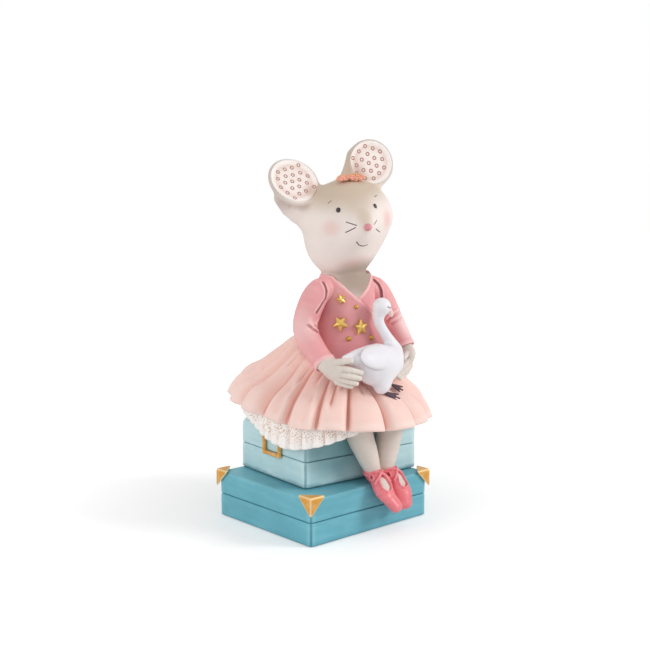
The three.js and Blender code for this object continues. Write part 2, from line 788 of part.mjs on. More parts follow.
function noseShape() {
  const tip = headSurface(noseDirection);
  return onHead(new THREE.SphereGeometry(noseRadius, 12, 8).translate(tip.x, tip.y, tip.z));
}

// Ear: a dished cup whose back narrows into the head. Places are shares of the head's sizes.
const ears = {
  right: { at: [-1.047, 0.13, 1.144], facing: [0.19, -0.825, 0.53] },
  left: { at: [0.831, 0.13, 1.239], facing: [0, -0.982, 0.182] },
};
const onCrown = ([x, y, z]) => new THREE.Vector3(x * headHalfWidth, y * headHalfDepth, z * headCrown);

const dishFloor = earRim - dishDepth;

// The ear's own frame has its axis along Y, out of the dish
function earFrame({ at, facing }) {
  const forward = new THREE.Vector3(...facing).normalize();
  const side = new THREE.Vector3(0, 0, 1).cross(forward).normalize();
  const up = new THREE.Vector3().crossVectors(side, forward);
  return new THREE.Matrix4().makeBasis(side, forward, up).setPosition(onCrown(at));
}

function earShape(ear) {
  const profile = [
    [0, -earCup], [earRadius * 0.6, -earCup * 0.95], [earRadius * 0.9, -earCup * 0.5],
    [earRadius, 0], [earRadius * 0.99, earRim * 0.7], [liningRadius + 0.45, earRim],
    [liningRadius, earRim * 0.8], [liningRadius * 0.94, dishFloor], [0, dishFloor],
  ].map(([r, y]) => new THREE.Vector2(r, y));
  const cup = facingOut(bare(new THREE.LatheGeometry(profile, 22))).applyMatrix4(earFrame(ear));
  const behind = (share, depth) =>
    onCrown(ear.at).multiplyScalar(share)
      .addScaledVector(new THREE.Vector3(...ear.facing), -depth * earCup).toArray();
  const funnel = limb(
    [
      stop(behind(0.45, 0.5), earRoot, earRoot * 0.6),
      stop(behind(0.75, 0.6), earRoot, earRoot * 0.4),
      stop(behind(1, 0.55), earRadius * 0.84, earCup * 0.45),
    ],
    { around: 12, along: 3, up: ear.facing },
  ).shape;
  return onHead(without(joined(cup, funnel), liningCutter(ear)));
}

function liningDisc(radius, y0, y1) {
  const geometry = new THREE.CylinderGeometry(radius, radius * 0.94, y1 - y0, 24);
  return geometry.translate(0, (y0 + y1) / 2, 0);
}

function liningCutter(ear) {
  return liningDisc(liningRadius, dishFloor, dishFloor + 2 * dishDepth).applyMatrix4(earFrame(ear));
}

function liningShape(ear) {
  const floor = dishFloor + seatGap;
  const plate = liningDisc(liningRadius * 0.96 - seatGap, floor, floor + liningThickness);
  return onHead(plate.applyMatrix4(earFrame(ear)));
}

// A band of small five-petalled flowers across the crown of the head
function flowerBand() {
  const at = (turn) => {
    const direction = new THREE.Vector3(Math.sin(turn), -0.5, 1.5 * Math.cos(turn)).normalize();
    return headSurface(direction).addScaledVector(direction, seatGap + flowerRadius * 0.45);
  };
  const blossoms = Array.from({ length: flowerCount }, (_, i) => {
    const turn = flowerStart + (i / (flowerCount - 1)) * flowerSpan;
    const size = flowerRadius * (1 - 0.22 * Math.abs(i - (flowerCount - 1) / 2));
    const petals = sculpted(10, 4, (d) => {
      const lobes = 1 + 0.16 * Math.cos(5 * Math.atan2(d.y, d.x));
      return d.clone().multiply(new THREE.Vector3(size * lobes, size * lobes, size * 0.6));
    });
    const p = at(turn);
    return placed(petals, p.x, p.y, p.z, new THREE.Euler(0.55, turn * 0.8, 0, "ZYX"));
  });
  const stops = [0, 0.5, 1].map((share) => at(flowerStart + share * flowerSpan).toArray());
  const band = limb(stops.map((p) => stop(p, 1, 0.8)), { around: 6, along: 4 }).shape;
  return onHead(joined(band, ...blossoms));
}

// Arms, hands and swan are placed in shares of the torso's half width, half depth and height
const onTorso = ([x, y, z]) => [x * chestHalfWidth, y * bellyHalfDepth, z * collarHeight];

const arms = {
  right: {
    shoulder: [[-0.59, 0, 0.9], [-1.15, 0.04, 0.86], [-1.42, 0.12, 0.766]],
    elbow: [-1.58, 0.14, 0.635],
    cuff: [-1.62, -0.79, 0.448],
    palm: [-1.55, -1.21, 0.408],
    knuckles: [-1.48, -1.6, 0.392],
    fingertips: [-1.16, -1.94, 0.38],
    thumbTip: [-1.36, -1.7, 0.462],
    across: [0.12, 0.1, 1],
  },
  left: {
    shoulder: [[0.59, 0, 0.9], [1.15, -0.07, 0.85], [1.37, -0.2, 0.774]],
    elbow: [1.52, -0.42, 0.672],
    cuff: [1.59, -0.95, 0.495],
    palm: [1.51, -1.16, 0.417],
    knuckles: [1.3, -1.3, 0.35],
    fingertips: [0.9, -1.33, 0.308],
    thumbTip: [1.12, -1.4, 0.428],
    across: [-0.3, -1, 0.1],
  },
};

function sleeveShape({ shoulder, elbow, cuff }) {
  const sizes = [sleeveShoulder * 0.9, sleeveShoulder, sleeveShoulder * 0.98, sleeveElbow, sleeveCuff];
  const stops = [...shoulder, elbow, cuff].map((point, i) => stop(onTorso(point), sizes[i]));
  return limb(stops, { around: 12, along: 10, up: [0, -1, 0.2] }).shape;
}

// A hand is a palm, four fingers laid side by side and a thumb
function handShape({ cuff, palm, knuckles, fingertips, thumbTip, across }) {
  const side = new THREE.Vector3(...across).normalize();
  const [wrist, mid, row, tips] = [cuff, palm, knuckles, fingertips].map(
    (p) => new THREE.Vector3(...onTorso(p)),
  );
  const bodyOfHand = limb(
    [
      stop(wrist.toArray(), palmThickness, palmThickness * 1.1),
      stop(mid.toArray(), palmThickness, palmWidth),
      stop(row.toArray(), palmThickness * 0.75, palmWidth),
    ],
    { around: 10, along: 4, up: across },
  ).shape;
  const fingers = [-1.5, -0.5, 0.5, 1.5].map((place) => {
    const spread = side.clone().multiplyScalar(place * fingerRadius * 1.75);
    const root = row.clone().lerp(mid, 0.2).add(spread);
    const bend = row.clone().lerp(tips, 0.5).add(spread);
    const tip = tips.clone().addScaledVector(spread, 0.9);
    tip.lerp(bend, 0.12 * Math.abs(place - 0.5));
    const stops = [root, bend, tip].map((p) => stop(p.toArray(), fingerRadius));
    return limb(stops, { around: 5, along: 2, endSteps: 1, up: across }).shape;
  });
  const base = mid.clone().addScaledVector(side, palmWidth * 0.5);
  const thumb = limb(
    [stop(base.toArray(), fingerRadius * 1.2), stop(onTorso(thumbTip), fingerRadius)],
    { around: 5, along: 2, endSteps: 1, up: across },
  ).shape;
  return joined(bodyOfHand, ...fingers, thumb);
}

// Legs hang over the front of the upper suitcase, and the toes in front of the lower one.
// Places are given to the figure's left and forward of the suitcase in knee radii, and
// downwards as shares of the seat's height.
const caseFront = upperShiftY - upperDepth / 2 - figureY;
const onLeg = ([aside, forward, down]) => [
  aside * kneeRadius, caseFront - forward * kneeRadius, -down * seatHeight,
];

const legs = {
  right: {
    knee: [-1.52, 0.93],
    ankle: [-0.39, 1.25, 0.423],
    foot: [[-0.34, 1.19, 0.46], [-0.42, 1.95, 0.5], [-0.45, 2.64, 0.613], [-0.07, 3.35, 0.735]],
  },
  left: {
    knee: [1.55, 1.06],
    ankle: [0.93, 1.28, 0.428],
    foot: [[1.02, 1.25, 0.46], [1.15, 1.9, 0.5], [1.27, 2.44, 0.613], [1.12, 2.94, 0.75]],
  },
};

function footStops({ foot }, inset) {
  const [wide, thick] = [footWidth - inset, footThickness - inset];
  const shares = [[0.76, 1], [0.84, 1.05], [1, 0.9], [0.84, 0.78]];
  return foot.map((point, i) => stop(onLeg(point), wide * shares[i][0], thick * shares[i][1]));
}

function legShape({ knee, ankle, ...leg }) {
  const [x, y] = onLeg([...knee, 0]);
  const [ankleX, ankleY, ankleZ] = onLeg(ankle);
  const shin = limb(
    [
      stop([x, y, 1.3 * kneeRadius], kneeRadius),
      stop([x, y, 0], kneeRadius),
      stop([(x + ankleX) / 2, (y + ankleY) / 2, ankleZ / 2], kneeRadius * 0.86),
      stop([ankleX, ankleY, ankleZ], ankleRadius),
      stop([ankleX, ankleY, ankleZ - ankleRadius / 2], ankleRadius * 0.9),
    ],
    { around: 10, along: 6, up: [0, -1, 0] },
  ).shape;
  const inset = slipperThickness + seatGap;
  const foot = limb(footStops(leg, inset), { around: 8, along: 4 }).shape;
  return joined(shin, foot);
}

// A slipper is open over the instep and tied with crossed ribbons. The foot hollows it out.
function slipperShape(leg) {
  const outer = limb(footStops(leg, 0), { around: 8, along: 5 });
  const opening = limb(
    [0.06, 0.3, 0.56].map((t, i) => {
      const size = footWidth * [0.95, 0.9, 0.5][i];
      return stop(outer.on(t, Math.PI / 2, 1.2).toArray(), size, footThickness);
    }),
    { around: 8, along: 3, endSteps: 1 },
  ).shape;
  const body = without(outer.shape, opening);
  const ribbon = (from, to) => {
    const stops = [0, 0.5, 1].map((share) => {
      const t = THREE.MathUtils.lerp(from.t, to.t, share);
      const angle = THREE.MathUtils.lerp(from.angle, to.angle, share);
      return stop(outer.on(t, angle, 0).toArray(), ribbonRadius, ribbonRadius * 0.8);
    });
    return limb(stops, { around: 4, along: 2, endSteps: 1 }).shape;
  };
  const [low, high] = [Math.PI * 0.06, Math.PI * 0.94];
  const crossing = [
    ribbon({ t: 0.2, angle: low }, { t: 0.48, angle: high }),
    ribbon({ t: 0.2, angle: high }, { t: 0.48, angle: low }),
  ];
  return joined(body, ...crossing);
}

// Swan: it lies along X with its tail on the figure's right and its chest on the left
const swanCentre = onTorso([-0.24, -1.56, 0.405]);

function swanBodyShape() {
  const body = sculpted(20, 12, (d) => {
    const back = THREE.MathUtils.smoothstep(-d.x, 0.1, 1);
    const chest = THREE.MathUtils.smoothstep(d.x, 0.2, 1);
    const slim = 1 - 0.62 * back;
    return new THREE.Vector3(
      d.x * swanHalfLength,
      d.y * swanHalfDepth * slim,
      d.z * swanHalfHeight * (slim - 0.12 * chest) + 2.6 * back + 0.8 * chest,
    );
  });
  const thigh = new THREE.SphereGeometry(1, 10, 6).scale(5, 4.2, 5.6).translate(1.8, -1.6, -6.4);
  return placed(joined(body, thigh), ...swanCentre);
}

function swanNeckShape() {
  const neck = limb(
    [
      stop(onTorso([0.68, -1.5, 0.44]), swanNeckRoot * 1.3),
      stop(onTorso([0.67, -1.44, 0.52]), swanNeckRoot * 0.8),
      stop(onTorso([0.4, -1.35, 0.597]), swanNeckTop * 1.05),
      stop(onTorso([0.17, -1.28, 0.68]), swanNeckTop),
      stop(onTorso([0.17, -1.29, 0.75]), swanNeckTop * 1.3),
    ],
    { around: 8, along: 8, up: [0, -1, 0] },
  ).shape;
  const head = sculpted(12, 7, (d) =>
    d.clone().multiply(new THREE.Vector3(1.05, 0.95, 1)).multiplyScalar(swanHeadRadius),
  );
  return joined(neck, placed(head, ...swanHeadCentre));
}

const swanHeadCentre = onTorso([0.23, -1.33, 0.777]);
const beakDirection = new THREE.Vector3(0.3, -0.42, -0.85).normalize();

function beakShape() {
  const centre = new THREE.Vector3(...swanHeadCentre);
  const root = centre.clone().addScaledVector(beakDirection, swanHeadRadius * 0.5);
  const tip = centre.clone().addScaledVector(beakDirection, swanHeadRadius * 1.6);
  const [wide, thin] = [swanHeadRadius * 0.42, swanHeadRadius * 0.2];
  return limb(
    [stop(root.toArray(), wide, wide * 0.85), stop(tip.toArray(), thin, thin * 0.8)],
    { around: 10, along: 4 },
  ).shape;
}

// The folded wing lies on the side that faces away from the figure
function wingShape() {
  const wing = sculpted(16, 7, (d) => {
    const back = THREE.MathUtils.smoothstep(-d.x, 0, 1);
    return new THREE.Vector3(
      d.x * wingHalfLength,
      d.y * wingThickness * (1 - 0.4 * back),
      d.z * wingHalfHeight * (1 - 0.5 * back) + 1.2 * back,
    );
  });
  const [x, y, z] = swanCentre;
  const [aside, forward, above] = [0.27 * swanHalfLength, 0.78 * swanHalfDepth, 0.5 * swanHalfHeight];
  const turn = new THREE.Euler(-0.5, 0.12, -0.06);
  return placed(wing, x - aside, y - forward, z + above, turn);
}

// A webbed foot: a fan with three toes, laid flat on the skirt
function webbedFoot(degrees, run) {
  const share = shareAt(degrees);
  const toes = [-0.5, 0, 0.5].map((angle) => ({ angle, reach: webLength * (1 - angle ** 2 * 0.4) }));
  const shape = new THREE.Shape();
  shape.moveTo(-1, 0.6);
  shape.lineTo(-1, -0.6);
  toes.forEach(({ angle, reach }, i) => {
    const along = new THREE.Vector2(Math.cos(angle), Math.sin(angle));
    const across = new THREE.Vector2(-along.y, along.x).multiplyScalar(0.45);
    const tip = along.clone().multiplyScalar(reach);
    const notch = new THREE.Vector2(Math.cos(angle - 0.25), Math.sin(angle - 0.25));
    if (i > 0) shape.lineTo(notch.x * webLength * 0.66, notch.y * webLength * 0.66);
    shape.lineTo(tip.x - across.x, tip.y - across.y);
    shape.lineTo(tip.x + across.x, tip.y + across.y);
  });
  const fan = new THREE.ExtrudeGeometry(shape, { depth: webThickness, bevelEnabled: false });
  const origin = skirtPoint(share, run);
  const along = skirtPoint(share + 0.012, run + 0.03).sub(origin).normalize();
  const down = skirtPoint(share, run + 0.05).sub(origin).normalize();
  const normal = new THREE.Vector3().crossVectors(down, along).normalize();
  if (normal.z < 0) normal.negate();
  const across = new THREE.Vector3().crossVectors(normal, along);
  const frame = new THREE.Matrix4().makeBasis(along, across, normal).setPosition(origin);
  return fan.translate(0, 0, -webThickness * 0.3).applyMatrix4(frame);
}

// Trims: five-pointed stars and round studs, each laid on the bodice where it belongs
function onBodice(geometry, angle, z) {
  const centre = bodicePoint(angle, z, 0.05);
  const facing = new THREE.Euler(0, 0, angle);
  return placed(geometry, centre.x, centre.y, centre.z, facing);
}

function starShape(radius) {
  const points = Array.from({ length: 10 }, (_, i) => {
    const reach = i % 2 === 0 ? radius : radius * 0.5;
    const angle = Math.PI / 2 + (i * Math.PI) / 5;
    return new THREE.Vector2(reach * Math.cos(angle), reach * Math.sin(angle));
  });
  const depth = trimThickness * 1.4;
  const star = new THREE.ExtrudeGeometry(new THREE.Shape(points), {
    depth,
    bevelThickness: trimThickness * 0.5,
    bevelSize: radius * 0.2,
    bevelOffset: -radius * 0.2,
    bevelSegments: 1,
  });
  return star.rotateX(Math.PI / 2).translate(0, depth * 0.55, 0);
}

function studShape() {
  return new THREE.SphereGeometry(studRadius, 9, 6);
}

// Assembly, each casting cut back where it leans on the one before
const moneyBox = new THREE.Group();

function add(parent, name, geometry, look, at) {
  parent.add(piece(name, geometry, look, at));
  return geometry;
}

add(moneyBox, "lower_case_tray", lowerTray(), finish.teal);
add(moneyBox, "lower_case_lid", lowerLid(), finish.teal, [0, 0, lowerLidBase]);
add(moneyBox, "base_stopper", stopper(), finish.rubber);
for (const [sideX, sideY, place] of [
  [-1, -1, "front_right"],
  [1, -1, "front_left"],
  [-1, 1, "back_right"],
  [1, 1, "back_left"],
]) {
  add(moneyBox, `corner_cap_${place}`, cornerCap(sideX, sideY), finish.gilt);
}

const upperCase = new THREE.Group();
upperCase.position.set(upperShiftX, upperShiftY, upperBase);
upperCase.rotation.z = upperYaw;
add(upperCase, "upper_case_tray", upperTray(), finish.paleTeal);
add(upperCase, "upper_case_lid", upperLid(), finish.paleTeal, [0, 0, upperLidBase]);
add(upperCase, "upper_case_handle", sideHandle(), finish.gilt);
moneyBox.add(upperCase);

const figure = new THREE.Group();
figure.position.set(figureX, figureY, seatHeight);
const bench = placed(upperBlockInPlace, -figureX, -figureY, -seatHeight);
const footrest = placed(lowerBlock, -figureX, -figureY, -seatHeight);

const skirt = add(figure, "skirt", fitted(skirtShape(), bench), finish.peach);
const petticoat = add(figure, "petticoat", fitted(petticoatShape(), bench), finish.print);
const head = add(figure, "head", headShape(), finish.skin);
const bodice = fitted(without(bodiceShape(), necklineCutter()), skirt, head);
add(figure, "bodice", bodice, finish.rose);
add(figure, "neck", fitted(neckShape(), bodice, head), finish.skin);
add(figure, "nose", fitted(noseShape(), head), finish.slipper);
const earCasts = Object.entries(ears).map(([name, ear]) => {
  add(figure, `ear_lining_${name}`, liningShape(ear), finish.lining);
  return add(figure, `ear_${name}`, fitted(earShape(ear), head), finish.skin);
});
add(figure, "flower_band", fitted(flowerBand(), head, ...earCasts), finish.flower);

const sleeves = Object.entries(arms).map(([name, arm]) =>
  add(figure, `sleeve_${name}`, fitted(sleeveShape(arm), bodice, skirt, head), finish.rose),
);

const swanBody = fitted(swanBodyShape(), bodice, skirt, ...sleeves);
const swanNeck = fitted(swanNeckShape(), swanBody, bodice, ...sleeves);
const wing = fitted(wingShape(), swanBody);
add(figure, "swan_body", swanBody, finish.white);
add(figure, "swan_neck", swanNeck, finish.white);
add(figure, "swan_wing", wing, finish.white);
add(figure, "swan_beak", fitted(beakShape(), swanNeck), finish.beak);

for (const [name, arm] of Object.entries(arms)) {
  const hand = fitted(handShape(arm), ...sleeves, swanBody, wing, skirt, bodice);
  add(figure, `hand_${name}`, hand, finish.skin);
}

const webbedFeet = { right: { angle: -3, run: 0.62 }, left: { angle: 13.6, run: 0.4 } };
for (const [name, { angle, run }] of Object.entries(webbedFeet)) {
  const foot = fitted(webbedFoot(angle, run), skirt, swanBody);
  add(figure, `swan_foot_${name}`, foot, finish.dark);
}

for (const [name, leg] of Object.entries(legs)) {
  const cast = fitted(legShape(leg), bench, footrest, petticoat, skirt);
  const slipper = fitted(slipperShape(leg), cast, footrest);
  add(figure, `leg_${name}`, cast, finish.skin);
  add(figure, `slipper_${name}`, slipper, finish.slipper);
}

const stars = [
  { radius: starRadius * 0.68, angle: -47.6, up: 0.828, tilt: 18 },
  { radius: starRadius * 1.03, angle: -49.2, up: 0.674, tilt: 180 },
  { radius: starRadius, angle: -13.3, up: 0.647, tilt: 4 },
];
stars.forEach(({ radius, angle, up, tilt }, i) => {
  const shape = starShape(radius).rotateY(THREE.MathUtils.degToRad(tilt));
  const star = onBodice(shape, THREE.MathUtils.degToRad(angle), up * collarHeight);
  add(figure, `star_${i + 1}`, fitted(star, bodice), finish.starGilt);
});

const studs = [
  { angle: -20.8, up: 0.776 },
  { angle: -35.3, up: 0.576 },
  { angle: 6.5, up: 0.573 },
];
studs.forEach(({ angle, up }, i) => {
  const stud = onBodice(studShape(), THREE.MathUtils.degToRad(angle), up * collarHeight);
  add(figure, `stud_${i + 1}`, fitted(stud, bodice), finish.starGilt);
});
moneyBox.add(figure);

// The origin is under the middle of the whole, on the surface that it stands on
const middle = new THREE.Box3().setFromObject(moneyBox, true).getCenter(new THREE.Vector3());
moneyBox.position.set(-middle.x, -middle.y, 0);

export default moneyBox;
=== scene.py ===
import math
from functools import reduce
from itertools import pairwise

import bpy
import numpy as np
import openvdb
from mathutils import Euler, Matrix, Vector


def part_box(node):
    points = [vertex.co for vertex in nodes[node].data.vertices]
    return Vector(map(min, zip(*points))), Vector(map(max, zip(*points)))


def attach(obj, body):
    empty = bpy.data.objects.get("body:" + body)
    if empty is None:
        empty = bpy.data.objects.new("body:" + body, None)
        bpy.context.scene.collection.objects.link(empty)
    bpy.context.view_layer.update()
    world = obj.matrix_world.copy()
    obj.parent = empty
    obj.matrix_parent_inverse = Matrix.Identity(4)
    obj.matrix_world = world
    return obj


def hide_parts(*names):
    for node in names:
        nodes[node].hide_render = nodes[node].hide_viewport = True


# Dressed model of the mouse money box. Shapes are worked out in millimetres from the seat of the
# figure, which is the top of the upper suitcase, and are put in the frame in metres.
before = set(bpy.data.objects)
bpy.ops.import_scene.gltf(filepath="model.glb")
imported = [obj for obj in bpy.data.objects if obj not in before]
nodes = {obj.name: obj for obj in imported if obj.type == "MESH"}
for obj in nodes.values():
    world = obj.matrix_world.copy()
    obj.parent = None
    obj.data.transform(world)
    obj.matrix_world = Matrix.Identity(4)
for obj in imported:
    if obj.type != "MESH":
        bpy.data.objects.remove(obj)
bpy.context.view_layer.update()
scene = bpy.context.scene
mm = 0.001

lowBox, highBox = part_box("lower_case_tray")
caseCentre = (lowBox + highBox) / 2
seat = np.array([caseCentre.x + 0.006, caseCentre.y - 0.010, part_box("upper_case_lid")[1].z])
fine = 1.0  # clay is coarser while trying things
claySteps = {
    "cap": 0.16, "handle": 0.18, "head": 0.42, "eye": 0.07, "nose": 0.14, "bodice": 0.36, "sleeve": 0.36,
    "hand": 0.26, "swan": 0.34, "beak": 0.18, "web": 0.16, "leg": 0.34, "slipper": 0.26, "stud": 0.12,
}
print("stage: frame loaded, seat at", seat.round(4).tolist())


# Clay: distance fields in millimetres, with ovals and rods blended and cut, skinned by openvdb
def clay(low, high, step):
    step = step * fine
    x, y, z = (np.arange(a, b + step, step, dtype=np.float32) for a, b in zip(low, high))
    return {"x": x[:, None, None], "y": y[None, :, None], "z": z[None, None, :], "low": low, "step": step}


def fromPoint(g, at):
    return [g[axis] - v for axis, v in zip("xyz", at)]


def dot(p, d):
    return p[0] * d[0] + p[1] * d[1] + p[2] * d[2]


def turned(x, y, z, turn):
    m = np.array(turn, dtype=np.float32)
    return tuple(dot(m[:, i], (x, y, z)) for i in range(3))


def fromOval(x, y, z, radii):
    a, b, c = radii
    near = np.sqrt((x / a) ** 2 + (y / b) ** 2 + (z / c) ** 2)
    slope = np.sqrt((x / a**2) ** 2 + (y / b**2) ** 2 + (z / c**2) ** 2)
    return near * (near - 1) / np.maximum(slope, 1e-5)


def oval(g, at, radii, angles=None):
    p = fromPoint(g, at)
    return fromOval(*(p if angles is None else turned(*p, Euler(angles).to_matrix())), radii)


def rod(g, start, end, startRadius, endRadius=None):
    endRadius = startRadius if endRadius is None else endRadius
    d = [e - s for s, e in zip(start, end)]
    p = fromPoint(g, start)
    share = np.clip(dot(p, d) / max(dot(d, d), 1e-6), 0, 1)
    x, y, z = (v - share * w for v, w in zip(p, d))
    return np.sqrt(x**2 + y**2 + z**2) - (startRadius + (endRadius - startRadius) * share)


def flatRod(g, a, b, up):  # between two stops of x, y, z, half width, half thickness
    d = b[:3] - a[:3]
    length = np.linalg.norm(d)
    forward = d / length
    sideways = np.cross(up, forward)
    sideways /= np.linalg.norm(sideways)
    top = np.cross(forward, sideways)
    p = fromPoint(g, a)
    share = np.clip(dot(p, d) / length**2, 0, 1)
    p = [v - share * w for v, w in zip(p, d)]
    wide, thick = (a[i] + (b[i] - a[i]) * share for i in (3, 4))
    s, t, f = dot(p, sideways) / wide, dot(p, top) / thick, dot(p, forward) / thick
    return (np.sqrt(s * s + t * t + f * f) - 1) * thick


def meld(a, b, soft):
    h = np.clip(0.5 + 0.5 * (b - a) / soft, 0, 1)
    return b + (a - b) * h - soft * h * (1 - h)


def cut(a, b, soft):
    return -meld(-a, b, soft)


def melded(fields, soft):
    return reduce(lambda a, b: meld(a, b, soft), fields)


def along(stops, count):  # points of a smooth curve through the stops
    stops = np.array(stops, dtype=float)
    ends = np.vstack([2 * stops[0] - stops[1], stops, 2 * stops[-1] - stops[-2]])
    out = []
    for t in np.linspace(0, len(stops) - 1, count):
        i = min(int(t), len(stops) - 2)
        u = t - i
        a, b, c, d = ends[i : i + 4]
        out.append(0.5 * (2 * b + (c - a) * u + (2 * a - 5 * b + 4 * c - d) * u**2 + (3 * b - a - 3 * c + d) * u**3))
    return np.array(out)


def limb(g, stops, count=12):  # each stop is x, y, z, radius
    return reduce(np.minimum, (rod(g, a, b[:3], a[3], b[3]) for a, b in pairwise(along(stops, count))))


def flatLimb(g, stops, up, count=8):
    return reduce(np.minimum, (flatRod(g, a, b, up) for a, b in pairwise(along(stops, count))))


def thread(g, points, radius, count=7):
    return limb(g, [(*p, radius) for p in points], count)


def pressed(points, shape, sink=0.0, towards=None):  # moves points onto a clay surface, straight or along one line
    p = np.array(points, dtype=float)
    for _ in range(6):
        at = shape(dict(zip("xyz", p.T)))
        slope = np.stack([shape(dict(zip("xyz", (p + d).T))) - at for d in np.eye(3) * 0.05], axis=1)
        slope /= np.linalg.norm(slope, axis=1)[:, None] + 1e-9
        line = slope if towards is None else np.tile(towards, (len(p), 1))
        p -= line * ((at + sink) / np.maximum((slope * line).sum(axis=1), 0.25))[:, None]
    return p


def skinOf(g, field):
    grid = openvdb.FloatGrid(10.0)
    shape = np.broadcast_shapes(*(g[axis].shape for axis in "xyz"))
    grid.copyFromArray(np.array(np.broadcast_to(field, shape), dtype=np.float32))
    points, quads = grid.convertToQuads(isovalue=0.0)
    return points * g["step"] + np.array(g["low"]), quads


def smoothstep(x, low, high):
    t = np.clip((x - low) / (high - low), 0, 1)
    return t * t * (3 - 2 * t)


# Meshes and finished pieces
def readLayer(data, name, width, kind=np.float32):
    values = np.zeros(len(data) * width, kind)
    data.foreach_get(name, values)
    return values.reshape(-1, width)


def pointsOf(mesh):
    return readLayer(mesh.vertices, "co", 3)


def addLayer(mesh, name, values):
    values = np.asarray(values, np.float32)
    kind, key = ("FLOAT", "value") if values.ndim == 1 else ("FLOAT_VECTOR", "vector")
    mesh.attributes.new(name, kind, "POINT").data.foreach_set(key, values.ravel())


def baseMesh(name, points, edges=(), faces=(), **layers):
    mesh = bpy.data.meshes.new(name)
    mesh.from_pydata([tuple(p) for p in np.asarray(points).tolist()], list(edges), [tuple(f) for f in faces])
    for label, values in layers.items():
        addLayer(mesh, label, values)
    return mesh


def addRecess(mesh, rounds=3):  # how deep each point lies in its surroundings, in millimetres
    points, normals = pointsOf(mesh), readLayer(mesh.vertices, "normal", 3)
    pairs = readLayer(mesh.edges, "vertices", 2, np.int32)
    a, b = np.concatenate([pairs, pairs[:, ::-1]]).T
    degree = np.maximum(np.bincount(a, minlength=len(points)), 1)

    def averaged(values):
        return np.bincount(a, weights=values[b], minlength=len(points)) / degree

    smooth = points.astype(float)
    for _ in range(rounds * 2):
        smooth = np.stack([averaged(smooth[:, i]) for i in range(3)], axis=1)
    depth = ((smooth - points) * normals).sum(axis=1) * 1000
    for _ in range(rounds):
        depth = averaged(depth)
    addLayer(mesh, "recess", depth)


def settled(name, mesh, replaces, flat=False):
    mesh.transform(Matrix.Translation(seat) @ Matrix.Scale(mm, 4))
    mesh.validate()
    mesh.update()
    if not flat:
        mesh.shade_smooth()
    addRecess(mesh)
    mesh.name = name
    piece = bpy.data.objects.new(name, mesh)
    scene.collection.objects.link(piece)
    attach(piece, "root")
    if replaces:
        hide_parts(*replaces)
    return piece


def newPiece(name, points, faces, look, replaces=(), flat=False):
    mesh = baseMesh(name, points, faces=faces)
    mesh.materials.append(paintOf(look))
    return settled(name, mesh, replaces, flat)


def clayPiece(name, g, field, look, replaces=(), place=None):
    points, quads = skinOf(g, field)
    if place is not None:
        points = points @ np.array(place["turn"]).T + np.array(place["at"])
    return newPiece(name, points, quads.tolist(), look, replaces)


def ringSkin(rings):  # closed at both ends by a fan
    rows, count = len(rings), len(rings[0])
    points = np.vstack([*rings, np.mean(rings[0], axis=0), np.mean(rings[-1], axis=0)])
    steps = [(i, (i + 1) % count) for i in range(count)]
    last = (rows - 1) * count
    faces = [(a + i, a + j, a + count + j, a + count + i) for a in range(0, last, count) for i, j in steps]
    for i, j in steps:
        faces += [(rows * count, j, i), (rows * count + 1, last + i, last + j)]
    return points, faces


# Node sums, for shader groups and geometry trees alike
class Wire:
    def __init__(self, tree, end):
        self.tree, self.end = tree, end

    def into(self, socket):
        self.tree.links.new(self.end, socket)

    def op(self, operation, *others, clamp=False):
        values = dict(enumerate((self, *others)))
        return fromNode(self.tree, "ShaderNodeMath", values, operation=operation, use_clamp=clamp)

    def __add__(self, other):
        return self.op("ADD", other)

    __radd__ = __add__

    def __mul__(self, other):
        return self.op("MULTIPLY", other)

    __rmul__ = __mul__

    def __sub__(self, other):
        return self.op("SUBTRACT", other)

    def __rsub__(self, other):
        return self.op("MULTIPLY", -1) + other

    def __truediv__(self, other):
        return self.op("DIVIDE", other)

    def __pow__(self, other):
        return self.op("POWER", other)

    def sine(self):
        return self.op("SINE")

    def cosine(self):
        return self.op("COSINE")

    def held(self):
        return self.op("ADD", 0, clamp=True)

    def eased(self, low, high, toLow=0.0, toHigh=1.0):
        values = dict(enumerate((self, low, high, toLow, toHigh)))
        return fromNode(self.tree, "ShaderNodeMapRange", values, interpolation_type="SMOOTHSTEP")

    def vector(self, operation, other=None, scale=None):
        output = 1 if operation in ("DOT_PRODUCT", "LENGTH") else 0
        values = {0: self, 1: other, 3: scale}
        return fromNode(self.tree, "ShaderNodeVectorMath", values, output, operation=operation)

    def through(self, kind, **values):
        values = {label.replace("_", " "): value for label, value in values.items()}
        return fromNode(self.tree, "GeometryNode" + kind, {0: self, **values})

    def painted(self, paint):
        return self.through("SetMaterial", Material=paint)


def feed(socket, value):
    if isinstance(value, Wire):
        value.into(socket)
    elif value is not None:
        socket.default_value = value


def addNode(tree, kind, values=None, **settings):
    node = tree.nodes.new(kind)
    for name, value in settings.items():
        setattr(node, name, value)
    for socket, value in (values or {}).items():
        feed(node.inputs[socket], value)
    return node


def fromNode(tree, kind, values=None, output=0, **settings):
    return Wire(tree, addNode(tree, kind, values, **settings).outputs[output])


def vectorOf(tree, x, y, z):
    return fromNode(tree, "ShaderNodeCombineXYZ", {0: x, 1: y, 2: z})


def mixed(tree, share, a, b):
    return fromNode(tree, "ShaderNodeMix", {0: share, 6: a, 7: b}, 2, data_type="RGBA")


def noise(tree, vector, scale, detail=3.0, rough=0.55):
    values = {"Vector": vector, "Scale": scale, "Detail": detail, "Roughness": rough}
    return fromNode(tree, "ShaderNodeTexNoise", values)


def objectPlace(tree):
    return fromNode(tree, "ShaderNodeTexCoord", output="Object")


def attributeOf(tree, name):
    return fromNode(tree, "ShaderNodeAttribute", output="Fac", attribute_name=name)


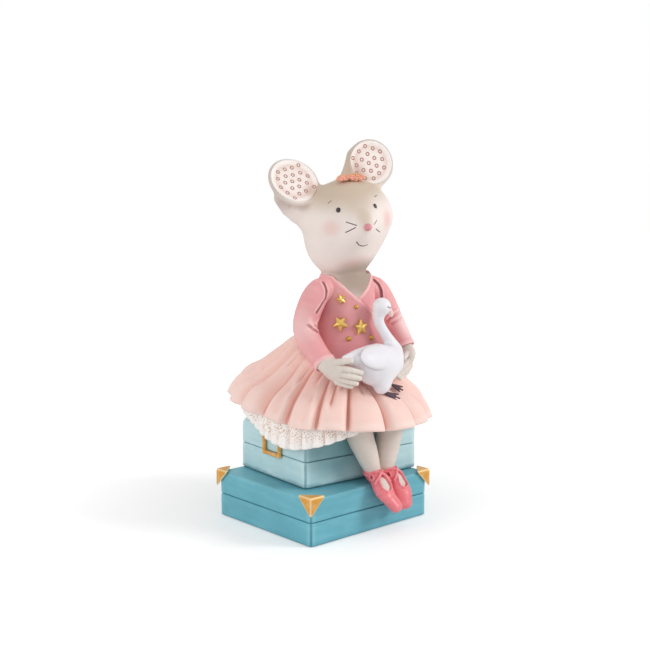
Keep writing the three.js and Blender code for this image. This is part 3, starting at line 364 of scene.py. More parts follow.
def srgb(hexColour):
    values = [((hexColour >> shift) & 255) / 255 for shift in (16, 8, 0)]
    return tuple((v / 12.92 if v <= 0.04045 else ((v + 0.055) / 1.055) ** 2.4) for v in values) + (1.0,)


# A node group with named inputs and outputs, each given with its kind
def newGroup(name, kind, inputs, outputs):
    group = bpy.data.node_groups.new(name, kind)
    for side, sockets in (("INPUT", inputs), ("OUTPUT", outputs)):
        for label, socketKind in sockets.items():
            group.interface.new_socket(label, in_out=side, socket_type="NodeSocket" + socketKind)
    start = group.nodes.new("NodeGroupInput")
    given = {label: Wire(group, start.outputs[label]) for label in inputs}
    return group, given, group.nodes.new("NodeGroupOutput").inputs


# Shader groups
def handPaintGroup():
    group, given, out = newGroup(
        "handPaint", "ShaderNodeTree",
        {"Paint": "Color", "Wash And Shade": "Color", "Dry Brush And Highlight": "Color", "Stroke Scale": "Vector", "Stroke Amount": "Float",
         "Mottle Scale": "Float", "Mottle Amount": "Float", "Wash Amount": "Float", "Edge Highlight Amount": "Float"},
        {"Color": "Color", "Height": "Float", "Grease": "Float"},
    )
    place = objectPlace(group)
    strokes = noise(group, place.vector("MULTIPLY", given["Stroke Scale"]), 1.0, 4.0, 0.6)
    mottle = noise(group, place, given["Mottle Scale"], 4.0)
    grain = noise(group, place, 2600.0, 2.0)
    recess = attributeOf(group, "recess")
    # painted shade: the wash colour darkens the recesses
    recessShade = recess.eased(0.004, 0.09) * given["Wash Amount"]
    # painted highlight: the dry-brush colour lightens the ridges
    ridgeHighlight = recess.eased(-0.01, -0.11)
    colour = mixed(group, strokes.eased(0.42, 0.75) * given["Stroke Amount"], given["Paint"], given["Dry Brush And Highlight"])
    colour = mixed(group, mottle.eased(0.35, 0.75) * given["Mottle Amount"], colour, given["Wash And Shade"])
    colour = mixed(group, (ridgeHighlight * given["Edge Highlight Amount"]).held(), colour, given["Dry Brush And Highlight"])
    mixed(group, recessShade.held(), colour, given["Wash And Shade"]).into(out["Color"])
    (strokes * 0.7 + grain * 0.3).into(out["Height"])
    (mottle * 0.2 - 0.1).into(out["Grease"])
    return group


def softSpotGroup():
    inputs = {"Place": "Vector", "Center": "Vector", "Radii": "Vector", "Core": "Float"}
    group, given, out = newGroup("softSpot", "ShaderNodeTree", inputs, {"Mask": "Float"})
    off = given["Place"].vector("SUBTRACT", given["Center"]).vector("DIVIDE", given["Radii"])
    off.vector("LENGTH").eased(given["Core"], 1.0, 1.0, 0.0).into(out["Mask"])
    return group


def brushStrokeGroup():
    inputs = {"Place": "Vector", "From": "Vector", "To": "Vector", "Width": "Float"}
    group, given, out = newGroup("brushStroke", "ShaderNodeTree", inputs, {"Mask": "Float"})
    run = given["To"].vector("SUBTRACT", given["From"])
    off = given["Place"].vector("SUBTRACT", given["From"])
    share = (off.vector("DOT_PRODUCT", run) / run.vector("DOT_PRODUCT", run)).held()
    gap = off.vector("SUBTRACT", run.vector("SCALE", scale=share)).vector("LENGTH")
    gap.eased(given["Width"] * 0.45, given["Width"], 1.0, 0.0).into(out["Mask"])
    return group


def glitterGroup():
    inputs = {"Place": "Vector", "Fleck Scale": "Float", "Amount": "Float"}
    group, given, out = newGroup("glitterFlecks", "ShaderNodeTree", inputs, {"Mask": "Float", "Tint": "Float"})
    cells = addNode(group, "ShaderNodeTexVoronoi", {"Vector": given["Place"], "Scale": given["Fleck Scale"]})
    chance = addNode(group, "ShaderNodeSeparateColor", {0: Wire(group, cells.outputs["Color"])})
    wanted = Wire(group, chance.outputs[0]) + noise(group, given["Place"], 240.0, 2.0) * 0.9 - 0.45
    shown = wanted.eased(1.0 - given["Amount"], 1.05 - given["Amount"])
    dots = Wire(group, cells.outputs["Distance"]).eased(0.34, 0.5, 1.0, 0.0)
    (shown * dots).into(out["Mask"])
    Wire(group, chance.outputs[1]).into(out["Tint"])
    return group


# distances to a box's vertical corners, foot and top: for painted highlight, wear and the corner line
def edgeWearAndHighlightGroup():
    inputs = {"Place": "Vector", "Half Size": "Vector", "Width": "Float"}
    outputs = {"Corner": "Float", "Foot": "Float", "Top": "Float"}
    group, given, out = newGroup("boxEdges", "ShaderNodeTree", inputs, outputs)

    def axisOf(vector, i):
        return fromNode(group, "ShaderNodeSeparateXYZ", {0: vector}, i)

    off = given["Place"].vector("ABSOLUTE").vector("SUBTRACT", given["Half Size"])
    x, y = (axisOf(off, i) + given["Width"] for i in (0, 1))
    x.op("MINIMUM", y).into(out["Corner"])
    level, half = axisOf(given["Place"], 2), axisOf(given["Half Size"], 2)
    (level + half).into(out["Foot"])
    (half - level).into(out["Top"])
    return group


handPaint, softSpot, brushStroke = handPaintGroup(), softSpotGroup(), brushStrokeGroup()
glitterFlecks, boxEdges = glitterGroup(), edgeWearAndHighlightGroup()


def placeGroup(tree, group, values):
    node = addNode(tree, "ShaderNodeGroup", values, node_tree=group)
    return {socket.name: Wire(tree, socket) for socket in node.outputs}


# edge sets how much painted highlight the ridges get, the wash amount how much painted shade the recesses get
def resin(name, paint, washAndShade, dryBrushAndHighlight, strokeScale, brushed, mottleScale, mottled, roughness,
          edge=0.45, gloss=0.35, metal=0.0, washAmount=1.0, bump=0.25):
    material = bpy.data.materials.new(name)
    material.use_nodes = True
    tree = material.node_tree
    shader = tree.nodes["Principled BSDF"]
    layers = placeGroup(tree, handPaint, {
        "Paint": srgb(paint), "Wash And Shade": srgb(washAndShade), "Dry Brush And Highlight": srgb(dryBrushAndHighlight), "Stroke Scale": strokeScale,
        "Stroke Amount": brushed, "Mottle Scale": mottleScale, "Mottle Amount": mottled,
        "Wash Amount": washAmount, "Edge Highlight Amount": edge,
    })
    relief = fromNode(tree, "ShaderNodeBump", {"Strength": bump, "Distance": 0.00015, "Height": layers["Height"]})
    rough = (layers["Grease"] + roughness).held()
    for label, value in (
        ("Base Color", layers["Color"]), ("Specular IOR Level", gloss), ("Metallic", metal), ("Roughness", rough),
        ("Normal", relief),
    ):
        feed(shader.inputs[label], value)
    return {"material": material, "tree": tree, "shader": shader, "colour": layers["Color"]}


def placeIn(tree, location, rotation=(0, 0, 0)):  # the place in millimetres from there
    values = {"Vector": objectPlace(tree), "Location": location, "Rotation": rotation, "Scale": (mm, mm, mm)}
    return fromNode(tree, "ShaderNodeMapping", values, vector_type="TEXTURE")


def placeAbove(look, height=0.0, rotation=(0, 0, 0)):  # the same from the seat or from above it
    return placeIn(paints[look]["tree"], tuple(seat + np.array([0, 0, height]) * mm), rotation)


def overpaint(paint, share, colour):
    paint["colour"] = mixed(paint["tree"], share, paint["colour"], srgb(colour))
    paint["colour"].into(paint["shader"].inputs["Base Color"])


def spots(look, place, groups):  # rows of centre, radii, strength and solid core, by colour
    for colour, rows in groups.items():
        for centre, radii, strength, core in rows:
            values = {"Place": place, "Center": centre, "Radii": radii, "Core": core}
            overpaint(paints[look], placeGroup(paints[look]["tree"], softSpot, values)["Mask"] * strength, colour)


def strokes(look, place, lines, colour, shape, towards=None):
    masks = []
    for points, width in lines:
        for a, b in pairwise(pressed(points, shape, 0, towards).tolist()):
            values = {"Place": place, "From": a, "To": b, "Width": width}
            masks.append(placeGroup(paints[look]["tree"], brushStroke, values)["Mask"])
    overpaint(paints[look], reduce(lambda a, b: a.op("MAXIMUM", b), masks), colour)


# Each look: colours of paint, wash (also painted shade in the recesses) and dry brush (also painted highlight on
# the ridges), scale and strength of the strokes, scale and strength of the mottling, roughness, and what is not as
# usual
looks = {
    "lowerCasePaint": (0x6DB5C5, 0x4F94A6, 0x86CBD8, (60, 60, 420), 0.45, 45.0, 0.3, 0.5, {"bump": 0.35}),
    "upperCasePaint": (0xBFE0E5, 0x8DB9C1, 0xD8F0F2, (60, 60, 420), 0.5, 45.0, 0.3, 0.52, {"bump": 0.35}),
    "giltPaint": (
        0xE0A03F, 0x9C611A, 0xFFE7B0, (300, 300, 300), 0.3, 160.0, 0.25, 0.42, {"edge": 1.0, "metal": 0.12},
    ),
    "starGilt": (0xC9983F, 0x6F4A1C, 0xF3D680, (400, 400, 400), 0.5, 300.0, 0.4, 0.34, {"metal": 0.5}),
    "stopperRubber": (0x2F2F32, 0x1C1C1F, 0x3D3D40, (200, 200, 200), 0.2, 120.0, 0.3, 0.75, {"gloss": 0.3}),
    "skirtPaint": (0xF8D2C7, 0xD9978C, 0xFCE6DE, (70, 70, 70), 0.35, 40.0, 0.12, 0.58, {"washAmount": 0.5}),
    "cardiganPaint": (
        0xEBA3A5, 0xBC6E73, 0xFBCDCB, (120, 120, 120), 0.3, 60.0, 0.18, 0.56, {"edge": 0.7, "washAmount": 0.6},
    ),
    "skinPaint": (0xDDD2C8, 0xA19082, 0xF3EBE4, (50, 50, 50), 0.3, 35.0, 0.15, 0.6, {"washAmount": 0.7}),
    "facePaint": (0xF1E5DE, 0xC2AC9E, 0xFCF4F0, (50, 50, 50), 0.25, 35.0, 0.12, 0.58, {"washAmount": 0.6}),
    "swanPaint": (0xEBE9ED, 0xBDB9C6, 0xF7F6F9, (120, 120, 120), 0.3, 80.0, 0.08, 0.4, {"washAmount": 0.7}),
    "beakPaint": (0xF6CFC6, 0xD79A93, 0xFFEAE4, (400, 400, 400), 0.3, 300.0, 0.2, 0.42, {}),
    "slipperPaint": (0xEC7A82, 0xB84D58, 0xF9A7AB, (200, 200, 200), 0.3, 120.0, 0.2, 0.36, {"gloss": 0.45}),
    "nosePaint": (0xDC9098, 0xB85F6B, 0xF9C6C8, (300, 300, 300), 0.2, 200.0, 0.2, 0.36, {}),
    "petalPaint": (0xDD8A71, 0xAA4F3B, 0xFFC4A8, (500, 500, 500), 0.5, 400.0, 0.25, 0.5, {}),
    "stamenPaint": (0xD99A55, 0x8C4F2A, 0xF6CB8A, (600, 600, 600), 0.5, 500.0, 0.3, 0.45, {"metal": 0.2}),
    "webPaint": (0x4A323D, 0x2A1A22, 0x6E525B, (500, 500, 500), 0.3, 300.0, 0.3, 0.5, {"edge": 0.15}),
    "eyePaint": (0x3A2A2E, 0x1C1216, 0x554247, (900, 900, 900), 0.2, 500.0, 0.2, 0.22, {"gloss": 0.5}),
    "liningPaint": (0xFAEEE8, 0xDDBFB0, 0xFFFAF6, (150, 150, 150), 0.3, 90.0, 0.15, 0.6, {}),
    "ringPaint": (0xA97B72, 0x84584E, 0xC69A90, (600, 600, 600), 0.4, 400.0, 0.3, 0.55, {}),
    "petticoatPaint": (0xFFFAF6, 0xE6CBC0, 0xFFFEFC, (150, 150, 60), 0.3, 90.0, 0.1, 0.5, {"washAmount": 0.45}),
}
paints = {name: resin(name, *look, **more) for name, (*look, more) in looks.items()}


def paintOf(name):
    return paints[name]["material"]


# Geometry Nodes helpers: a tree grows a plain mesh out of a base mesh
def geometryTree(name, form, *paintLabels):
    kinds = {label: {tuple: "Vector", int: "Int", float: "Float"}[type(value)] for label, value in form.items()}
    inputs = {"Geometry": "Geometry", **kinds, **dict.fromkeys(paintLabels, "Material")}
    return newGroup(name, "GeometryNodeTree", inputs, {"Geometry": "Geometry"})


def named(tree, name, kind="FLOAT"):
    return fromNode(tree, "GeometryNodeInputNamedAttribute", {"Name": name}, data_type=kind)


def joined(tree, *parts):
    node = tree.nodes.new("GeometryNodeJoinGeometry")
    for part in parts:
        part.into(node.inputs[0])
    return Wire(tree, node.outputs[0])


def grown(base, tree, values):
    carrier = bpy.data.objects.new("carrier", base)
    scene.collection.objects.link(carrier)
    modifier = carrier.modifiers.new("grow", "NODES")
    modifier.node_group = tree
    for item in tree.interface.items_tree:
        if item.in_out == "INPUT" and item.name in values:
            modifier[item.identifier] = values[item.name]
    seen = carrier.evaluated_get(bpy.context.evaluated_depsgraph_get())
    mesh = bpy.data.meshes.new_from_object(seen)
    carrier.modifiers.remove(modifier)
    bpy.data.objects.remove(carrier)
    return mesh


# Suitcases and stopper keep their CAD solids. Their paint is darker at the corners and the foot, has a
# painted highlight beside the corners and along the top edge, and painted shadow where the figure shades them.
caseForm = {
    "lower": {
        "size": (73.0, 66.0, 21.1), "at": (0.0, 0.0, 0.0), "yaw": 0.0, "edgeLine": 0x3F7F92, "light": 0x93D3DE,
        "foot": 0x4A8FA1, "footShare": 0.5,
        # painted shadow on the lid's top around the upper suitcase
        "shade": {0x3C7C8B: [((-4.0, 6.0, -25.4), (46.0, 44.0, 2.6), 0.6, 0.5)]},
    },
    "upper": {
        "size": (65.5, 52.5, 24.9), "at": (7.1, 4.0, 21.4), "yaw": -5.0, "edgeLine": 0x6E9DA8, "light": 0xE4F6F7,
        "foot": 0x2F6F80, "footShare": 0.75,
        # painted shadow of the legs and skirt on the front face near the corner
        "shade": {0x6C9BA3: [((-20.0, -15.0, -9.0), (24.0, 12.0, 20.0), 0.8, 0.5)]},
    },
    "edgeWidth": 2.0, "highlightShare": 0.4, "lineShare": 0.8, "topHighlightShare": 0.35,
}


def dressCase(level):
    case, look = caseForm[level], f"{level}CasePaint"
    paint, (x, y, z), half = paints[look], case["at"], tuple(v / 2 for v in case["size"])
    tree = paint["tree"]
    middle = (caseCentre.x + x * mm, caseCentre.y + y * mm, (z + half[2]) * mm)
    place = placeIn(tree, middle, (0, 0, math.radians(case["yaw"])))
    edges = placeGroup(tree, boxEdges, {"Place": place, "Half Size": half, "Width": caseForm["edgeWidth"]})
    corner, patchy = edges["Corner"], noise(tree, place, 0.12, 3.0).eased(0.3, 0.7, 0.45, 1.0)
    # painted highlight in a band beside each vertical corner, then a darker line right at the corner
    near = corner.eased(-1.6, 0.6) * corner.eased(0.7, 1.1, 1.0, 0.0)
    overpaint(paint, near * caseForm["highlightShare"], case["light"])
    overpaint(paint, corner.eased(0.85, 1.25) * patchy * caseForm["lineShare"], case["edgeLine"])
    foot = noise(tree, place, 0.14, 3.0).eased(0.2, 0.8, 1.2, 2.8)
    overpaint(paint, (1.0 - (edges["Foot"] / foot).held()) * case["footShare"], case["foot"])
    # lighter along the top edge: wear and painted highlight
    overpaint(paint, edges["Top"].eased(1.6, 0.2) * patchy * caseForm["topHighlightShare"], case["light"])
    # the painted shadow spots
    spots(look, placeAbove(look), case["shade"])


def repaint(node, look):
    nodes[node].data.materials.clear()
    nodes[node].data.materials.append(paintOf(look))


for level in ("lower", "upper"):
    dressCase(level)
    for part in ("tray", "lid"):
        repaint(f"{level}_case_{part}", f"{level}CasePaint")
repaint("base_stopper", "stopperRubber")
print("stage: suitcases painted")

# Corner caps and handle, cast with rounded edges
gildForm = {
    "inwards": 9, "outwards": 3,  # clay of a cap, around the corner
    "capReach": 5.9, "capSkin": 1.3, "capRound": 1.0, "edgeRound": 1.2, "capGap": 0.3,
    "rimWidth": 0.6, "edgeWidth": 0.55, "rimHighlightShare": 0.9, "rimHighlight": 0xFFEDC0,
    "handleSize": (14.6, 9.6), "handleAt": (-33.9, -1.6, 15.4), "handleBar": 0.95, "handleInset": (0.9, 0.8),
    "knob": (0.9, 1.3, 1.2),
}
toCase = np.array([-6.0, 10.0, -46.3])  # from the seat to the foot of the lower suitcase


def capPiece(name, sideX, sideY):
    f, half = gildForm, np.array(caseForm["lower"]["size"]) / 2
    sides, top, skin = np.array([sideX, sideY, 1]), 2 * half[2], f["capSkin"]
    corner = np.array([sideX * half[0], sideY * half[1], top])
    low, high = np.sort([corner - sides * f["inwards"], corner + sides * f["outwards"]], axis=0)
    g = clay(low, high, claySteps["cap"])
    x, y, z = g["x"] * sideX - half[0], g["y"] * sideY - half[1], g["z"] - top
    box = meld(skin - x, meld(skin - y, skin - z, f["edgeRound"]), f["edgeRound"])
    field = -meld(box, (x + y + z + f["capReach"]) / math.sqrt(3), f["capRound"])
    field = np.maximum(field, f["capGap"] - np.maximum(np.maximum(x, y), z))
    place = {"turn": np.eye(3), "at": toCase}
    piece = clayPiece(f"gilt_{name}", g, field, "giltPaint", [name], place)
    # the rim mask: a band along the slanted face and the folds, which takes the painted highlight
    reach = ((pointsOf(piece.data) - seat) / mm - toCase) * sides - (half[0], half[1], top)
    slope = np.abs(reach.sum(1) + f["capReach"]) / math.sqrt(3) / f["rimWidth"]
    edge = (skin - np.sort(reach, 1)[:, 1]) / f["edgeWidth"]
    addLayer(piece.data, "rim", np.maximum(np.exp(-(slope**2)), np.exp(-(edge**2))))


def handlePiece():
    f, upper = gildForm, caseForm["upper"]
    g = clay((-37, -12, 7), (-31, 8, 22), claySteps["handle"])
    x, y, z = f["handleAt"]
    wide, tall = (size / 2 - inset for size, inset in zip(f["handleSize"], f["handleInset"]))
    loop = [(x, y + wide * a, z + tall * b) for a, b in ((-1, 1), (-0.94, -1), (0.94, -1), (1, 1))]
    field = melded((rod(g, a, b, f["handleBar"]) for a, b in pairwise([*loop, loop[0]])), 0.5)
    field = melded([field, *(oval(g, end, f["knob"]) for end in (loop[0], loop[3]))], 0.4)
    place = {"turn": Matrix.Rotation(math.radians(upper["yaw"]), 3, "Z"), "at": toCase + upper["at"]}
    return clayPiece("gilt_handle", g, field, "giltPaint", ["upper_case_handle"], place)


# painted highlight along the caps' edges and folds
rim = attributeOf(paints["giltPaint"]["tree"], "rim")
overpaint(paints["giltPaint"], rim * gildForm["rimHighlightShare"], gildForm["rimHighlight"])
for depth, sideY in (("front", -1), ("back", 1)):
    for side, sideX in (("right", -1), ("left", 1)):
        capPiece(f"corner_cap_{depth}_{side}", sideX, sideY)
handlePiece()
print("stage: caps and handle")


# Skirt: a bell whose folds are laid between creases, grown by a tree
skirtForm = {
    "Waist Width": 17.2, "Waist Depth": 15.0, "Waist Height": 28.5, "Waist Tilt": 9.5,
    "Hem Radius": 46.6, "Hem Height": 6.4, "Hem Tilt": 5.5, "Hem Low Side": math.radians(20.0),
    "Hem Shift": (1.5, 13.5, 0.0), "Fold Depth": 3.0, "Puff Depth": 2.7, "Hem Lift": 0.9,
}
creaseForm = {
    # angle from the front in degrees, lean at the waist, width, depth, and the run from waist to hem
    "front": [
        (-104, -8, 3.0, 1.0, 0, 1), (-93, -8, 1.5, 0.45, 0, 0.5), (-84, -13, 3.4, 1.0, 0, 1),
        (-74, -10, 4.0, 0.3, 0.55, 1), (-71, -13, 1.5, 0.6, 0, 0.6), (-67.5, -13, 2.2, 1.0, 0, 1),
        (-58, -10, 1.5, 0.45, 0, 0.45), (-57.5, 0, 2.4, 0.3, 0.62, 1), (-50, -9, 2.0, 0.95, 0, 1),
        (-43.5, -5, 1.9, 0.7, 0, 0.84), (-38, -4, 1.3, 0.45, 0, 0.45), (-32, -2, 1.9, 1.1, 0, 1),
        (-21, 0, 1.6, 0.4, 0, 0.5), (-8.5, 0, 2.2, 0.9, 0, 1), (3, 0, 1.8, 0.4, 0, 0.55), (16, 0, 5.0, 0.35, 0.1, 1),
    ],
    "panels": [-104, -84, -67.5, -50, -32, -8.5, 16], "backFolds": 13, "backWidth": 4.2,
    "wall": 2.4, "ceiling": 15.5, "hemRoll": 1.2,
    # where the cloth heaves up or sinks: angle, how wide, run, how long, height
    "heaves": [
        (-112, 55, 0.22, 0.2, 4.4), (-140, 40, 0.2, 0.17, 2.0), (-130, 38, 0.69, 0.15, -2.9),
        (48, 26, 0.7, 0.15, -1.5),
    ],
    "hemSags": [(52, 16, 2.2), (-60, 13, 2.0)],  # angle, how wide, how far the hem hangs down
}


def outward(angle):
    return np.stack([np.sin(angle), -np.cos(angle), np.zeros_like(angle)], axis=-1)


def hemPoint(angle, radius, below=0.0):
    s = skirtForm
    z = s["Hem Height"] + s["Hem Tilt"] * np.cos(angle + math.pi - s["Hem Low Side"]) - below
    p = outward(angle) * np.asarray(radius)[..., None]
    return p + np.stack([np.full_like(angle, s["Hem Shift"][0]), np.full_like(angle, s["Hem Shift"][1]), z], axis=-1)


def undersidePoint(angle, reach, below=0.0):
    edge = hemPoint(angle, np.full_like(angle, skirtForm["Hem Radius"] - creaseForm["wall"]))
    centre = np.array([*skirtForm["Hem Shift"][:2], 0.0])
    p = centre + (edge - centre) * reach
    p[..., 2] = creaseForm["ceiling"] + (edge[..., 2] - creaseForm["ceiling"]) * reach**4 - below
    return p


def foldLayers(angle, run):
    first, last = creaseForm["panels"][0], creaseForm["panels"][-1]
    step = (first + 360 - last) / creaseForm["backFolds"]
    back = [last + step * (i + 1) for i in range(creaseForm["backFolds"] - 1)]
    creases = creaseForm["front"] + [(a, 0, creaseForm["backWidth"], 0.95, 0, 1) for a in back]
    degrees = np.degrees(angle)
    valley = np.zeros_like(degrees)
    for at, lean, width, depth, start, end in creases:
        off = np.abs((degrees - at - lean * (1 - run) ** 1.5 + 180) % 360 - 180) / (width * (1.25 - 0.25 * run))
        span = smoothstep(run, start - 0.12, start + 0.12) * (1 - smoothstep(run, end - 0.2, end + 0.05) * (end < 1))
        valley = np.maximum(valley, depth * span * np.exp(-(off**1.7)))
    edges = np.array(creaseForm["panels"] + back + [first + 360.0])
    turn = (degrees - first) % 360 + first
    i = np.clip(np.searchsorted(edges, turn, side="right") - 1, 0, len(edges) - 2)
    width = edges[i + 1] - edges[i]
    u = (turn - edges[i]) / width
    panel = np.sin(math.pi * u) ** 0.8 * np.clip(width / 20, 0.5, 1.2)
    heave = np.zeros_like(degrees)

    def away(at, width):
        return (((degrees - at + 180) % 360 - 180) / width) ** 2

    for at, width, middle, length, height in creaseForm["heaves"]:
        heave += height * np.exp(-away(at, width) - ((run - middle) / length) ** 2)
    for at, width, height in creaseForm["hemSags"]:
        heave -= height * np.exp(-away(at, width)) * run**5
    return valley, panel, heave


def skirtTree():
    tree, given, out = geometryTree("pleatedBell", skirtForm)
    labels = ("angle", "run", "valley", "panel", "heave")
    angle, run, valley, panel, heave = (named(tree, label) for label in labels)
    sine, cosine = angle.sine(), angle.cosine()
    away = vectorOf(tree, sine, cosine * -1, 0.0)
    waist = vectorOf(tree, sine * given["Waist Width"], cosine * given["Waist Depth"] * -1, 0.0)
    waistZ = given["Waist Height"] - cosine * given["Waist Tilt"]
    hem = away.vector("SCALE", scale=given["Hem Radius"]).vector("ADD", given["Hem Shift"])
    hemZ = given["Hem Height"] + given["Hem Tilt"] * (angle + math.pi - given["Hem Low Side"]).cosine()
    crest = 0.25 * run + 0.35 * run**2 + 0.4 * run**8
    crease = 0.4 * run + 0.38 * run**2 + 0.22 * run**7
    drop = crest + (crease - crest) * valley
    spread = run.eased(0.0, 0.12) * (0.45 + run * 0.55)
    puff = panel * given["Puff Depth"] * (0.3 + run**2 * 0.7)
    proud = (puff - valley * given["Fold Depth"]) * spread
    level = waist.vector("ADD", hem.vector("SUBTRACT", waist).vector("SCALE", scale=run))
    level = level.vector("ADD", away.vector("SCALE", scale=proud))
    height = waistZ + (hemZ - waistZ) * drop + panel * given["Hem Lift"] * run**6 + proud * 0.4 * (1 - run) + heave
    place = level.vector("ADD", vectorOf(tree, 0.0, 0.0, height))
    given["Geometry"].through("SetPosition", Position=place).into(out["Geometry"])
    return tree


def skirtPiece():
    count, rows = ((1080, 72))
    around = np.arange(count) / count * 2 * math.pi
    runs = np.linspace(0, 1, rows)
    angle, run = np.tile(around, rows), np.repeat(runs, count)
    valley, panel, heave = foldLayers(angle, run)
    layers = {"angle": angle, "run": run, "valley": valley, "panel": panel, "heave": heave}
    bell = grown(baseMesh("bell", np.zeros((rows * count, 3)), **layers), skirtTree(), skirtForm)
    outer = pointsOf(bell).reshape(rows, count, 3)
    rings = list(outer)
    rim, inner = outer[-1], undersidePoint(around, 0.985)
    for turn in np.linspace(0, math.pi, 8)[1:-1]:  # rolled hem
        p = rim + (inner - rim) * (1 - math.cos(turn)) / 2
        p[:, 2] -= creaseForm["hemRoll"] * math.sin(turn)
        rings.append(p + outward(around) * 0.35 * math.sin(turn))
    rings += [undersidePoint(around, reach) for reach in (0.985, 0.92, 0.8, 0.6, 0.4)]
    points, faces = ringSkin(rings)
    return newPiece("skirt_pleats", points, [f[::-1] for f in faces], "skirtPaint", ["skirt"])


skirtPiece()
print("stage: skirt")

# Petticoat: a ruffled frill, also grown by a tree
frillForm = {
    "Frill Radius": 40.4, "Corner Spread": 3.9, "Ruffle Count": 52.0, "Ruffle Depth": 1.75, "Looseness": 0.7,
    "Seed": 3.0,
}
frillHangs = {
    "drop": 13.0, "fullSide": -85, "kneeSide": 22, "kneeSpan": (0.45, 1.65), "kneeLift": 1.2,
    "cornerSide": -57, "cornerSpan": (0.15, 0.9), "thickness": 2.0, "underSkirt": 0.6, "aboveCase": 0.3,
    "gathers": [(-110, 28, -5.2), (70, 13, 2.4)],  # angle, how wide, how much longer it hangs
    # scale, amount and the two tints of the speckles
    "flecks": [(2100.0, 0.4, (0xCFA468, 0xB58A5C)), (1500.0, 0.14, (0xDCAAA2, 0xC39460))],
}


def apart(angle, degrees):
    return np.abs((angle - math.radians(degrees) + 3 * math.pi) % (2 * math.pi) - math.pi)


def frillHang(angle):
    f = frillHangs
    knees = 1 - smoothstep(apart(angle, f["kneeSide"]), *f["kneeSpan"])
    full = 0.68 + 0.32 * np.cos(apart(angle, f["fullSide"]))
    hang = f["drop"] * full * (1 - knees) - f["kneeLift"] * knees
    for at, width, more in f["gathers"]:
        hang = hang + more * np.exp(-((np.degrees(apart(angle, at)) / width) ** 2))
    return hang


def frillTree():
    tree, given, out = geometryTree("ruffledFrill", frillForm)
    angle, down, spread = (named(tree, label) for label in ("angle", "down", "spread"))
    away = vectorOf(tree, angle.sine(), angle.cosine() * -1, 0.0)
    loose = away.vector("SCALE", scale=2.1).vector("ADD", vectorOf(tree, 0.0, 0.0, given["Seed"]))
    wander = (noise(tree, loose, 1.0, 2.0) - 0.5) * given["Looseness"] * 5.0
    turn = angle * given["Ruffle Count"] / 2 + wander
    ruffle = turn.cosine().op("ABSOLUTE") ** 0.55 - 0.62
    finer = (turn * 3.0 + 0.9).cosine().op("ABSOLUTE") ** 0.8 - 0.5
    uneven = noise(tree, loose, 3.1, 2.0).eased(0.3, 0.7, 0.6, 1.35)
    depth = (ruffle + finer * 0.14) * given["Ruffle Depth"] * uneven * (0.35 + down * 0.8)
    proud = spread * given["Corner Spread"] * down + depth
    shaped = given["Geometry"].through("SetPosition", Offset=away.vector("SCALE", scale=proud))
    shaped.into(out["Geometry"])
    return tree


def petticoatPiece():
    count, rows = ((1500, 22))
    around = np.arange(count) / count * 2 * math.pi
    radius, top = frillForm["Frill Radius"], skirtForm["Hem Radius"] - creaseForm["wall"] - 1.4
    f, hang = frillHangs, frillHang(around)
    spread = 1 - smoothstep(apart(around, f["cornerSide"]), *f["cornerSpan"])
    rows = [(down, top + (radius - top) * down, hang * down + f["underSkirt"]) for down in np.linspace(0.05, 1, rows)]
    rows += [(1.0, radius - 0.5, hang + 1.0), (1.0, radius - 1.2, hang + 0.8)]  # turned-in lower edge
    flat = [hemPoint(around, np.full(count, r), below) for _, r, below in rows]
    downs = np.repeat([down for down, _, _ in rows], count)
    layers = {"angle": np.tile(around, len(rows)), "down": downs, "spread": np.tile(spread, len(rows))}
    frill = grown(baseMesh("frill", np.vstack(flat), **layers), frillTree(), frillForm)
    outer = pointsOf(frill).reshape(len(rows), count, 3)
    rings = [undersidePoint(around, reach, f["underSkirt"]) for reach in (0.4, 0.6, 0.8)] + list(outer)
    inner = hemPoint(around, radius - 2 * f["thickness"] + spread * 2)
    inner[:, 2] = np.maximum(f["aboveCase"], inner[:, 2] - hang * 0.5)
    middle = hemPoint(around, np.full(count, radius / 3))
    middle[:, 2] = f["aboveCase"]
    points, faces = ringSkin([*rings, inner, middle])
    faces = [f[::-1] for f in faces]
    return newPiece("petticoat_frill", points, faces, "petticoatPaint", ["petticoat"])


def dressPetticoat():
    paint = paints["petticoatPaint"]
    tree = paint["tree"]
    coords, band = objectPlace(tree), attributeOf(tree, "band")
    for scale, amount, colours in frillHangs["flecks"]:
        flecks = placeGroup(tree, glitterFlecks, {"Place": coords, "Fleck Scale": scale, "Amount": amount})
        for colour, ends in zip(colours, ((0.0, 1.0), (1.0, 0.0))):
            overpaint(paint, flecks["Mask"] * band * flecks["Tint"].eased(0.45, 0.5, *ends), colour)


def addBand(piece):
    points = (pointsOf(piece.data) - seat) / mm
    shift = skirtForm["Hem Shift"]
    angle = np.arctan2(points[:, 0] - shift[0], -(points[:, 1] - shift[1]))
    edge = hemPoint(angle, np.full(len(angle), 40.0))[:, 2]
    share = (edge - points[:, 2]) / np.maximum(frillHang(angle), 1.0)
    band = 1 - 0.75 * smoothstep(share, 0.55, 0.85)
    addLayer(piece.data, "band", band)


dressPetticoat()
addBand(petticoatPiece())
print("stage: petticoat")


